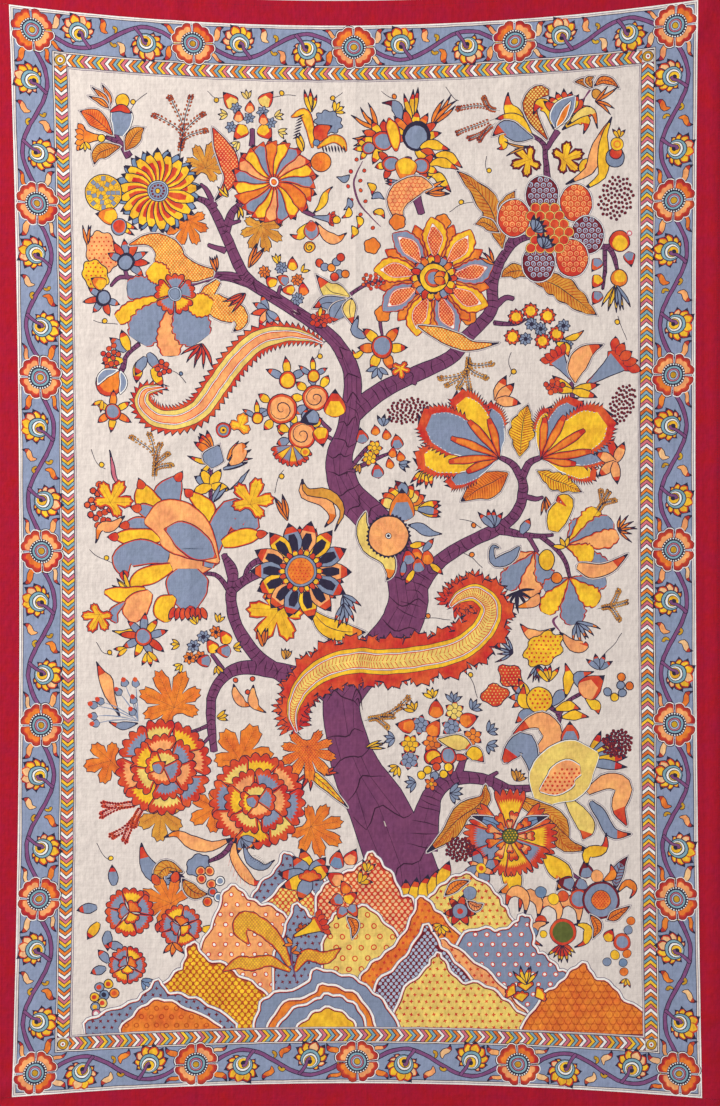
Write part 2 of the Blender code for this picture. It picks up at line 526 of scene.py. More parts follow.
# %% Flame leaves and curls of the border
def border_flame(side, start, end, bend, width=0.62):
    """An S-shaped leaf in peach and orange, with a red tip."""
    run = end - start
    spine = [start, start + run * (0.3 + 1j * bend), start + run * (0.7 - 0.6j * bend), end]
    shape = Blade(spine, [0.1, width * 0.9, width * 0.8, 0.02], 8)
    fill(on_side(side, shape.edge(0.13)), "ink")
    leaf = fill(on_side(side, shape.edge(-0.03)), random.choice(("orange", "peach", "apricot")))
    tip = Blade([shape.at(0.66), shape.at(0.84), shape.at(1.0)], [0.6, 0.34, 0.05], 4)
    fill(on_side(side, tip.edge()), "crimson", leaf)


def border_curl(side, start, way, size=1.0):
    """A short yellow hook."""
    hook = Blade([start, start + way * 0.7 * size, start + way * (1.2 + 0.5j) * size,
                  start + way * (0.9 + 1.0j) * size], [0.16, 0.26, 0.26, 0.34], 6)
    fill(on_side(side, hook.edge(0.12)), "ink")
    fill(on_side(side, hook.edge(-0.02)), "brass")


# %% One length of vine, between two rosettes
VINE_SWING = {"top": -2.7, "bottom": 2.7, "left": 2.7, "right": 2.7}


def vine_length(side, start, end):
    """The vine from one rosette to the next, swinging once each way, with what grows on it."""
    long = end - start
    top = VINE_SWING[side]
    share = np.linspace(0.0, 1.0, 13)
    mids = start + long * (0.09 + 0.82 * share) + 1j * top * np.sin(2 * np.pi * share)
    vine = Blade(mids, np.full(13, 0.34), 26)
    fill(on_side(side, vine.edge(0.13)), "ink")
    fill(on_side(side, vine.edge(-0.03)), "vine")
    up = 1 if top > 0 else -1
    for turn in (1, -1):
        middle, half = (start + end) / 2, long / 2 * turn
        lift = 1j * up * turn

        def at(share, y):
            return middle - half * share + lift * y

        centre = at(0.42, -0.55)
        border_lotus(side, centre, lift + 0.3 * turn)
        joint = at(0.28, abs(top) - 0.1)
        stem = Blade([joint, centre + 1.3 * lift + 0.9 * turn, centre + 0.2 * lift + 0.62 * turn,
                      centre - 0.1 * lift],
                     [0.3, 0.24, 0.26, 0.34], 8)
        fill(on_side(side, stem.edge(0.12)), "ink")
        fill(on_side(side, stem.edge(-0.02)), "vine")
        border_flame(side, at(0.82, 1.9), at(0.62, 3.6), 0.12, 0.4)
        border_flame(side, at(0.78, -0.9), at(0.62, -3.7), -0.16, 0.6)
        border_flame(side, at(0.06, -0.9), at(0.16, -3.7), 0.16, 0.6)
        border_curl(side, at(0.03, 1.0), lift * cmath.rect(1, 0.5 * turn), 0.8)
        border_curl(side, at(0.76, 0.2), -turn * cmath.rect(1, -0.9), 0.75)


random.seed(7)
RUNS = {"top": (HALF_WIDTH, 4), "bottom": (HALF_WIDTH, 4), "left": (HALF_HEIGHT, 6),
        "right": (HALF_HEIGHT, 6)}
for side, (half_length, count) in RUNS.items():
    stops = np.linspace(-half_length + ROSETTE_IN, half_length - ROSETTE_IN, count + 1)
    for first, second in zip(stops[:-1], stops[1:]):
        vine_length(side, first, second)
for side, (half_length, count) in RUNS.items():
    stops = np.linspace(-half_length + ROSETTE_IN, half_length - ROSETTE_IN, count + 1)
    for stop in stops[:-1]:
        rosette(side, stop)
print(len(outlines), "outlines with the border")

# %% [markdown]
# ## Motifs for the field
# The painter has a small stock of shapes, which come again and again in other sizes and dyes: pointed
# petals, scalloped petals, hatched leaves, tendrils with a ball, strings of berries. Each is a short
# function here. Most of them end in `draw_blade`, because a petal, a leaf and a branch are the same
# thing to a pen: a middle line, and a width along it.

# %% Petals
def way(degrees):
    return np.exp(1j * np.radians(degrees))


def petal(base, angle, length, width, dye, tip=None, core=None, bend=0.0, ink="ink", steps=7, pen=PEN):
    """One pointed petal from its base, with a dyed tip and a core where they are given."""
    out = way(angle)
    side = 1j * out * bend * length
    blade = Blade([base, base + out * length * 0.35 + side * 0.2, base + out * length * 0.7 + side * 0.55,
                   base + out * length + side], [width * 0.22, width * 0.5, width * 0.38, 0.0], steps)
    number = draw_blade(blade, dye, ink, pen)
    if tip:
        point = Blade([blade.at(0.64), blade.at(0.82), blade.at(1.0)], [width * 0.7, width * 0.5, 0.1], 4)
        fill(point.edge(), tip, number)
    if core:
        heart = Blade([blade.at(0.08), blade.at(0.4), blade.at(0.8)], [width * 0.14, width * 0.27, 0.0], 5)
        fill(heart.edge(), core, number)
    return blade


def petal_ring(centre, count, inner, outer, width, dyes, tip=None, core=None, bend=0.0, start=0.0,
               spread=360.0,
               ink="ink"):
    """Petals round a centre, or round part of it, in dyes that take turns."""
    for k in range(count):
        angle = start + spread * k / count + random.uniform(-2, 2)
        long = (outer - inner) * random.uniform(0.93, 1.05)
        petal(centre + inner * way(angle), angle, long, width, dyes[k % len(dyes)], tip, core, bend, ink)


def broad(spine, width, dye, rim="red", swell=(0.2, 0.8, 1.0, 0.85, 0.15), frill=0, bite=0.18, steps=14):
    """A broad soft petal or leaf, with a thin dyed line inside its inked edge."""
    blade = Blade(spine, np.array(swell) * width, steps)
    steady = dict(teeth=frill, bite=bite) if frill else {}
    fill(blade.edge(0.1, **steady), "ink")
    if rim:
        fill(blade.edge(-0.06, **steady), rim)
    return blade, fill(blade.edge(-0.26 if rim else -0.1, **steady), dye)


def scallop(base, angle, length, spread, lobes, dye, rim="red", ink="ink", heart=None):
    """A fan-shaped petal with a scalloped rim of another dye, and a ragged edge between the two."""
    count = lobes * 4 + 1
    fan = np.linspace(-spread / 2, spread / 2, count)
    bulge = 0.86 + 0.14 * abs(np.sin(np.arange(count) * np.pi / 4))
    edge = base + length * bulge * way(angle + fan)
    number = draw(np.concatenate([edge, [base]]), rim, ink)
    ragged = 0.74 + 0.045 * (-1) ** np.arange(count)
    inner = base + length * ragged * way(angle + fan * 0.86)
    fill(np.concatenate([inner, [base + length * 0.08 * way(angle)]]), dye, number)
    if heart:
        fill(ball(base + length * 0.3 * way(angle), length * 0.16, 8), heart, number)
    return number


def rings(centre, *pairs):
    """Rings one on another: a radius and a dye each, largest first."""
    for radius, dye in pairs:
        fill(ball(centre, radius), dye)


# %% Leaves
def hatching(blade, count, dye, inside, width=0.22, lean=0.09, reach=0.92, start=0.04, end=0.9):
    """Fine strokes from the middle line of a leaf to its edges."""
    for share in np.linspace(start, end, count):
        for side in (-reach, reach):
            a, b = blade.at(share, side * 0.08), blade.at(min(share + lean, 1.0), side)
            run = 1j * (b - a) / max(abs(b - a), 1e-6) * width / 2
            fill([a - run, b - run * 0.5, b + run * 0.5, a + run], dye, inside)


def leaf(spine, width, dye="ochre", vein="rust", count=14, tip=None, frill=0, rib="ink",
         swell=(0.08, 0.8, 1, 0.6, 0.03)):
    """A leaf with a midrib and fine hatching. Its spine may hook over at the tip."""
    blade = Blade(spine, np.array(swell) * width, 30 if frill else 16)
    steady = dict(teeth=frill, bite=0.22) if frill else {}
    fill(blade.edge(0.36, **steady), "line")
    fill(blade.edge(0.26, **steady), "cream")
    fill(blade.edge(0.1, **steady), "ink")
    number = fill(blade.edge(-0.1, **steady), dye)
    if count:
        hatching(blade, count, vein, number)
    if rib:
        stroke([blade.at(s) for s in (0.0, 0.3, 0.6, 0.92)], 0.15, rib, 10, number)
    if tip:
        point = Blade([blade.at(0.76), blade.at(0.9), blade.at(1.0)], [width, width * 0.7, 0.1], 5)
        fill(point.edge(), tip, number)
    return blade, number


def flame(spine, width, dye="peach", tip="red", ink="ink", rib=None):
    """A smooth flame-shaped leaf that ends in a hook."""
    blade = Blade(spine, [0.08, width * 0.7, width, width * 0.5, 0.06], 13)
    number = draw_blade(blade, dye, ink)
    if tip:
        point = Blade([blade.at(0.72), blade.at(0.86), blade.at(1.0)], [width, width * 0.7, 0.15], 5)
        fill(point.edge(), tip, number)
    if rib:
        stroke([blade.at(s) for s in (0.04, 0.3, 0.6, 0.85)], 0.12, rib, 9, number)
    return blade


def claws(base, angle, length, count=4, spread=90, dye="orange", width=0.55, bend=0.3, tip=None):
    """A few thin hooked leaves out of one point."""
    for k in range(count):
        turn = spread * (k / max(count - 1, 1) - 0.5)
        long = length * random.uniform(0.8, 1.1)
        petal(base, angle + turn, long, width, dye, tip, None, bend * (1 if turn < 0 else -1), steps=6)


def maple(centre, size, lean, dye="orange", vein="rust", lobes=5, rim=None):
    """A leaf of round lobes with notches between, each lobe hatched along its vein."""
    turn = np.linspace(-158, 158, lobes * 9 + 1)
    along = (turn + 158) / 316 * lobes
    lobe = abs(np.sin(along * np.pi)) ** 0.55
    teeth = 1 + 0.05 * (-1) ** np.arange(len(turn))
    reach = (0.36 + 0.64 * lobe * (0.76 + 0.24 * np.cos(np.radians(turn)))) * teeth
    outline = centre + size * np.concatenate([reach * way(turn), [-0.3]]) * way(lean)
    fill(grow(outline, 0.12), "ink")
    number = fill(grow(outline, -0.06), rim or dye)
    if rim:
        number = fill(grow(outline, -0.42), dye)
    for k in range(lobes):
        out = way(lean - 158 + 316 * (k + 0.5) / lobes)
        long = size * (0.76 + 0.24 * math.cos(math.radians(-158 + 316 * (k + 0.5) / lobes)))
        if vein:
            for share in np.arange(0.2, 0.86, 0.09):
                for side in (-1, 1):
                    start = centre + long * share * out
                    end = start + long * 0.22 * out * way(42 * side)
                    fill([start - 0.05j * out, end, start + 0.05j * out], vein, number)
        stroke([centre - size * 0.1 * way(lean), centre + long * 0.86 * out], 0.14,
               "ink" if rim is None else "maroon",
               2, number)
    return number


def spiked(blade, by, spike, start=0.0):
    """A blade's outline, with a point at every second place of it from some way along."""
    outline = blade.edge(by)
    place = np.arange(len(outline))
    share = 1 - abs(place / (len(outline) - 1) * 2 - 1)
    jag = spike * ((place + (by > 0)) % 2) * (share >= start) - spike * 0.15
    out = (grow(outline, 1.0) - outline)
    sweep = np.where(place < len(outline) / 2, 0.5j, -0.5j)
    return outline + out * jag * (1 + sweep * ((place + (by > 0)) % 2))


def serpent(spine, width, fringe="red", body="straw", rib="peach", steps=96, spike=0.95, lobes=0,
            herring=False, tufts=0):
    """A long winding leaf: a fringe of points, a pale body and a smooth or herringbone rib.

    With tufts, small fans of hooked points stand out of the fringe as well.
    """
    widths = np.array([0.12, 0.6, 0.95, 1.0, 1.0, 0.95, 0.85, 0.62, 0.2]) * width
    blade = Blade(spine, widths, steps)
    if lobes:
        swell = 1 + 0.75 * abs(np.sin(np.linspace(0, lobes * np.pi, steps)))
        blade.half = blade.half * swell
    for share in np.linspace(0.03, 0.97, tufts):
        for side in (-1, 1):
            base, tip = blade.at(share, side * 0.5), blade.at(share, side * 1.5)
            lean = math.degrees(cmath.phase(tip - base)) - 22 * side
            for turn in (-44, -18, 8, 34):
                petal(base, lean + turn * side, width * 0.42 + spike * random.uniform(1.5, 2.1), 0.9, fringe,
                      bend=0.16 * side, pen=0.12)
    fill(spiked(blade, 0.16, spike), "ink")
    fill(spiked(blade, -0.06, spike * 0.8), fringe)
    slim = Blade(spine, widths * (0.86 if lobes else 0.8), steps)
    fill(slim.edge(0.06), "ink")
    fill(slim.edge(-0.06), body)
    core = Blade(spine, widths * (0.52 if lobes else 0.34), steps)
    fill(core.edge(0.22), "line")
    fill(core.edge(0.1), "white")
    fill(core.edge(-0.04), "red")
    middle = fill(core.edge(-0.22), rib)
    if herring:
        hatching(core, steps, "red", middle, 0.16, 0.008, 0.98, 0.0, 1.0)
    return blade


def fan_lobe(apex, angle, length, width, dye, bend=0.0):
    """A lobe of a fan flower, with a fringe of red points on its far half."""
    out = way(angle)
    side = 1j * out * bend * length
    spine = [apex, apex + out * length * 0.35 + side * 0.2, apex + out * length * 0.72 + side * 0.6,
             apex + out * length + side]
    blade = Blade(spine, np.array([0.1, 0.36, 0.72, 0.97, 1.0, 0.9, 0.5]) * width, 44)
    fill(spiked(blade, 0.12, 1.0, 0.5), "ink")
    fill(spiked(blade, -0.04, 0.55, 0.5), "red")
    slim = Blade([blade.at(s) for s in (0.02, 0.3, 0.6, 0.88)],
                 np.array([0.1, 0.36, 0.66, 0.84, 0.86, 0.76, 0.4]) * width, 36)
    fill(slim.edge(0.08), "line")
    fill(slim.edge(0.0), "white")
    return fill(spiked(slim, -0.12, 0.3, 0.5), dye)


def trumpet(base, angle, length, mouth, dye="grey", lip="red", bend=0.1):
    """A flower like a horn, with a ragged lip."""
    out = way(angle)
    side = 1j * out * bend * length
    spine = [base, base + out * length * 0.5 + side * 0.3, base + out * length + side]
    blade = Blade(spine, [mouth * 0.18, mouth * 0.5, mouth], 14)
    number = draw(spiked(blade, 0.0, 0.5, 0.72), lip)
    slim = Blade([blade.at(0.04), blade.at(0.4), blade.at(0.8)], [mouth * 0.1, mouth * 0.42, mouth * 0.74], 9)
    fill(slim.edge(-0.05), dye, number)
    for k in (-2, 2, -1, 1, 0):
        petal(blade.at(0.88, k * 0.42), angle + 17 * k, mouth * 0.95, mouth * 0.66, lip, bend=0.12 * k,
              pen=0.14)


def plume(spine, width, dye="peach", hair="ink", count=9, side=1, tip="red"):
    """A leaf with a fringe of dark hairs down one side."""
    blade = flame(spine, width, dye, tip)
    for share in np.linspace(0.25, 0.85, count):
        stroke([blade.at(share, 0.35 * side), blade.at(min(share + 0.1, 1), 2.0 * side)], 0.2, hair, 3)
    return blade


# %% Berries, fronds and tendrils
def berry_string(spine, size, dye="rust", stem="ink", count=16):
    """Small berries in pairs along a dark stem."""
    stroke(spine, 0.16, stem, 12)
    line = Blade(spine, np.full(len(spine), size * 1.5), 20)
    for share in np.linspace(0.14, 1, count):
        for side in (-1, 1):
            spot = line.at(share, side)
            out = spot - line.at(max(share - 0.05, 0))
            fill(ball(spot, size * 1.25, 7, 0.72, math.degrees(cmath.phase(out))), stem)
            fill(ball(spot, size * 0.95, 6, 0.72, math.degrees(cmath.phase(out))), dye)


def spray(base, ends, size, dye="rust", stem="ink", bow=0.5, count=18):
    """Berry strings that rise together out of one base and bend outwards."""
    rising = sum(end - base for end in ends)
    rising = rising / abs(rising)
    for end in ends:
        run = end - base
        knee = base + abs(run) * bow * rising + run * (0.6 - bow) * 0.5
        berry_string([base, knee, base + run * 0.9 + 0.1 * abs(run) * rising, end], size, dye, stem, count)


def berry_patch(centre, wide, tall, size, dye, count, lean=0.0, edge=None):
    """Many berries in an oval patch, spaced by the golden angle."""
    for k in range(count):
        spot = math.sqrt((k + 0.5) / count) * way(137.5 * k)
        spot = centre + (spot.real * wide + 1j * spot.imag * tall) * way(lean)
        fill(ball(spot, size * 1.3, 7), edge or "ink")
        fill(ball(spot, size * random.uniform(0.85, 1.1), 7), dye)


def tendril(spine, bead="yellow", bead_at=0.5, bead_size=0.5):
    """A fine line of the pen that carries one bead."""
    line = Blade(spine, np.full(len(spine), 0.07), 14)
    fill(np.concatenate([line.mid - line.out * 0.07, (line.mid + line.out * 0.07)[::-1]]), "ink")
    if bead:
        draw(ball(line.at(bead_at) + 0.45 * line.out[7], bead_size, 9), bead)


def drop(centre, radius, angle, dye="yellow", tip="red", ink="ink", core=None):
    """A round fruit or bud that comes to a point."""
    out = way(angle)
    blade = Blade([centre - out * radius, centre - out * radius * 0.5, centre + out * radius * 0.4,
                   centre + out * radius * 1.5],
                  [radius * 0.3, radius * 0.95, radius * 0.8, 0.0], 10)
    fill(blade.edge(0.12), ink)
    number = fill(blade.edge(-0.06), tip)
    slim = Blade([blade.at(0.04), blade.at(0.3), blade.at(0.68)], np.array([0.3, 0.86, 0.45]) * radius, 8)
    fill(slim.edge(-0.04), dye, number)
    if core:
        fill(ball(centre, radius * 0.4, 8), core, number)


def bud(centre, radius, angle, dye="grey", rim="red", petals=("yellow", "grey"), count=5, spread=150,
        long=1.9):
    """A round bud with a red rim, in front of a few pointed petals."""
    for k in range(count):
        turn = spread * (k / max(count - 1, 1) - 0.5)
        petal(centre + way(angle + turn) * radius * 0.5, angle + turn,
              radius * long * random.uniform(0.85, 1.1),
              radius * 0.85, petals[k % len(petals)], "red", bend=random.uniform(-0.15, 0.15))
    draw(ball(centre, radius, 16, 0.92, angle), rim)
    fill(ball(centre - way(angle) * radius * 0.08, radius * 0.78, 14, 0.92, angle), dye)


def snail(centre, radius, angle, dye="peach", line="red"):
    """A round fruit whose line winds into its middle."""
    draw(ball(centre, radius, 20), line)
    fill(ball(centre, radius * 0.82, 18), dye)
    turn = np.linspace(0, 1.6, 14)
    coil = centre + radius * (0.84 - 0.5 * turn) * np.exp(2j * np.pi * turn) * way(angle)
    stroke(coil, 0.22, "ink", 22)


def star(centre, radius, dye="orange", count=6, lean=0.0, heart="yellow", tip="red"):
    """A little open flower."""
    for k in range(count):
        petal(centre + way(lean + 360 / count * k) * radius * 0.15, lean + 360 / count * k, radius * 0.85,
              radius * 0.6,
              dye, tip, steps=5, pen=0.15)
    draw(ball(centre, radius * 0.28, 8), heart, pen=0.12)


def leaflets(base, angle, length=1.6, count=3, spread=80, dye="yellow", tip=None):
    for k in range(count):
        turn = spread * (k / max(count - 1, 1) - 0.5)
        petal(base, angle + turn, length, length * 0.36, dye, tip, steps=5, pen=0.16)


# %% Flowers
def sunflower(centre, radius):
    """Yellow petals with red hearts over a round of blue ones, about a small beaded disc."""
    petal_ring(centre, 21, radius * 0.62, radius * 1.0, radius * 0.2, ("blue",), None, None, start=8)
    petal_ring(centre, 21, radius * 0.2, radius * 0.98, radius * 0.3, ("yellow",), None, "red", bend=0.07)
    rings(centre, (radius * 0.26, "ink"), (radius * 0.24, "pale_blue"), (radius * 0.215, "ink"),
          (radius * 0.2, "grey"))
    for k in range(12):
        fill(ball(centre + way(30 * k) * radius * 0.14, 0.26, 6), "maroon")
    rings(centre, (radius * 0.07, "ink"), (radius * 0.05, "yellow"))


def pinwheel(centre, radius, count=19):
    """Curved petals that all lean one way round a white ring."""
    petal_ring(centre, 16, radius * 0.6, radius * 1.1, radius * 0.3, ("yellow", "red", "orange"), "red",
               start=6)
    dyes = ("orange", "grey", "yellow", "peach", "grey", "yellow")
    for k in range(count):
        broad([centre + radius * reach * way(360 / count * k - 26 * reach ** 2) for reach in (0.1, 0.4,
            0.75, 1.03)],
              radius * 0.17, dyes[k % len(dyes)], "red", (0.2, 0.6, 0.9, 1.0, 0.1), steps=10)
    rings(centre, (radius * 0.13, "ink"), (radius * 0.115, "white"), (radius * 0.08, "red"),
          (radius * 0.05, "orange"))


def peony(centre, radius, lean=0.0, dyes=("peach", "grey", "straw", "yellow")):
    """Three rounds of scalloped petals, the larger ones behind."""
    for k in range(8):
        angle = lean + 45 * k + random.uniform(-6, 6)
        scallop(centre + radius * 0.3 * way(angle), angle, radius * 0.74, 76, 4, dyes[(k * 3) % 4])
    for k in range(6):
        angle = lean + 25 + 60 * k + random.uniform(-6, 6)
        scallop(centre + radius * 0.12 * way(angle), angle, radius * 0.6, 80, 4, dyes[(k * 3 + 1) % 4])
    for k in range(4):
        scallop(centre, lean + 60 + 90 * k, radius * 0.4, 96, 3, dyes[(k + 2) % 4])
    drop(centre - 0.1 * radius, radius * 0.13, 40, "grey", "red")


def fluted_daisy(centre, radius, count=9, lean=90.0):
    """A large flower whose wavy petals hold a netted red heart, about a toothed yellow ring."""
    for k in range(count):
        angle = lean + 360 / count * (k + 0.5)
        broad([centre + radius * 0.4 * way(angle), centre + radius * way(angle)], radius * 0.13, "orange",
              frill=3)
    for k in range(count):
        angle = lean + 360 / count * k
        spine = [centre + radius * 0.3 * way(angle), centre + radius * 0.62 * way(angle - 2),
                 centre + radius * 0.86 * way(angle),
                 centre + radius * 1.08 * way(angle + 3)]
        blade, _ = broad(spine, radius * 0.235, "grey" if k % 2 else "yellow", frill=6, bite=0.12,
                         swell=(0.3, 0.8, 1.0, 0.8, 0.12), steps=24)
        heart = Blade([blade.at(0.08), blade.at(0.45), blade.at(0.82)], [0.4, radius * 0.135, 0.1], 10)
        fill(heart.edge(0.12), "red")
        fill(heart.edge(0.0), "white")
        number = fill(heart.edge(-0.1), "red")
        net(heart.edge(-0.1), number, "peach", 0.62, 0.2)
    petal_ring(centre, 18, radius * 0.24, radius * 0.44, radius * 0.13,
               ("red", "yellow", "orange", "grey"), "red")
    fill(spiked(Blade([centre - radius * 0.3, centre, centre + radius * 0.3], [0.3, radius * 0.29, 0.3],
                      14), 0, 0.3), "ink")
    rings(centre, (radius * 0.27, "ink"), (radius * 0.25, "yellow"), (radius * 0.17, "ink"),
          (radius * 0.155, "red"),
          (radius * 0.11, "grey"))
    petal(centre + radius * 0.02, 30, radius * 0.22, radius * 0.16, "orange", "red")
    petal(centre + radius * 0.02, -30, radius * 0.22, radius * 0.16, "orange", "red")


def small_peony(centre, radius, lean=0.0):
    for k in range(6):
        scallop(centre + radius * 0.12 * way(lean + 60 * k), lean + 60 * k, radius * 0.9, 72, 3,
                ("grey", "yellow", "grey")[k % 3])
    for k in range(3):
        scallop(centre, lean + 30 + 120 * k, radius * 0.5, 100, 3, ("orange", "grey", "yellow")[k])


def scale_oval(centre, radius, back, light, lean=0.0):
    """An oval fruit, covered with small rings in rows."""
    oval = ball(centre, radius, 24, 0.86, lean)
    fill(grow(oval, 0.34), "line")
    fill(grow(oval, 0.24), "white")
    fill(grow(oval, 0.1), "ink")
    number = fill(grow(oval, -0.06), back)
    for spot in spots_in(grow(oval, -0.3), 1.25):
        fill(ball(spot, 0.52, 9), light, number)
        fill(ball(spot - 0.06j, 0.34, 8), back, number)
        fill(ball(spot - 0.06j, 0.14, 6), light, number)


# %% Patterns for the hills and for some fruits
def within(spots, outline):
    """Which of these places are inside an outline."""
    x, y = outline.real, outline.imag
    x2, y2 = np.roll(x, -1), np.roll(y, -1)
    px, py = spots.real[:, None], spots.imag[:, None]
    crosses = (y > py) != (y2 > py)
    rise_y = np.where(y2 == y, 1.0, y2 - y)
    return ((crosses & (px < x + (py - y) / rise_y * (x2 - x))).sum(1) % 2).astype(bool)


def spots_in(outline, step, squeeze=0.866, hidden_by=()):
    """A staggered grid of places inside an outline, less those that later outlines hide."""
    x = np.arange(outline.real.min(), outline.real.max() + step, step)
    y = np.arange(outline.imag.min(), outline.imag.max() + step, step * squeeze)
    grid = x[None, :] + 1j * y[:, None]
    grid[1::2] += step / 2
    spots = grid.reshape(-1)
    spots = spots[within(spots, outline)]
    for other in hidden_by:
        if len(spots):
            spots = spots[~within(spots, other)]
    return spots


def ticks(outline, number, dye="maroon", step=1.5, hidden_by=()):
    mark = 0.46 * turns(8) * np.tile([1, 0.45], 4)
    for spot in spots_in(outline, step, hidden_by=hidden_by):
        fill(spot + mark * way(random.uniform(0, 120)), dye, number)


def ringed_dots(outline, number, ring="red", dot="white", step=2.3, size=0.52, hidden_by=()):
    for spot in spots_in(outline, step, hidden_by=hidden_by):
        fill(ball(spot, size, 9), ring, number)
        fill(ball(spot, size * 0.6, 8), dot, number)


def net(outline, number, dot="straw", step=1.12, size=0.4, hidden_by=()):
    for spot in spots_in(outline, step, 0.6, hidden_by):
        fill(ball(spot, size, 5, lean=20), dot, number)


def scales(outline, number, dye="orange", line="rust", step=1.5, hidden_by=()):
    for spot in spots_in(outline, step, hidden_by=hidden_by):
        fill(ball(spot, step * 0.52, 10), line, number)
        fill(ball(spot + 0.05j, step * 0.43, 10), dye, number)


# %% [markdown]
# ## The tree
# The trunk and its branches are inked all together first and dyed afterwards, so no line crosses
# where one grows out of another. The bark is fine dark lines, like the cracks of a dry skin.

# %% Trunk and branches
random.seed(21)


def limbs(blades):
    for blade in blades:
        fill(blade.edge(0.14), "ink")
    return [fill(blade.edge(-0.04), "purple") for blade in blades]


def limb(points, widths, steps=14):
    return Blade(points, widths, steps)


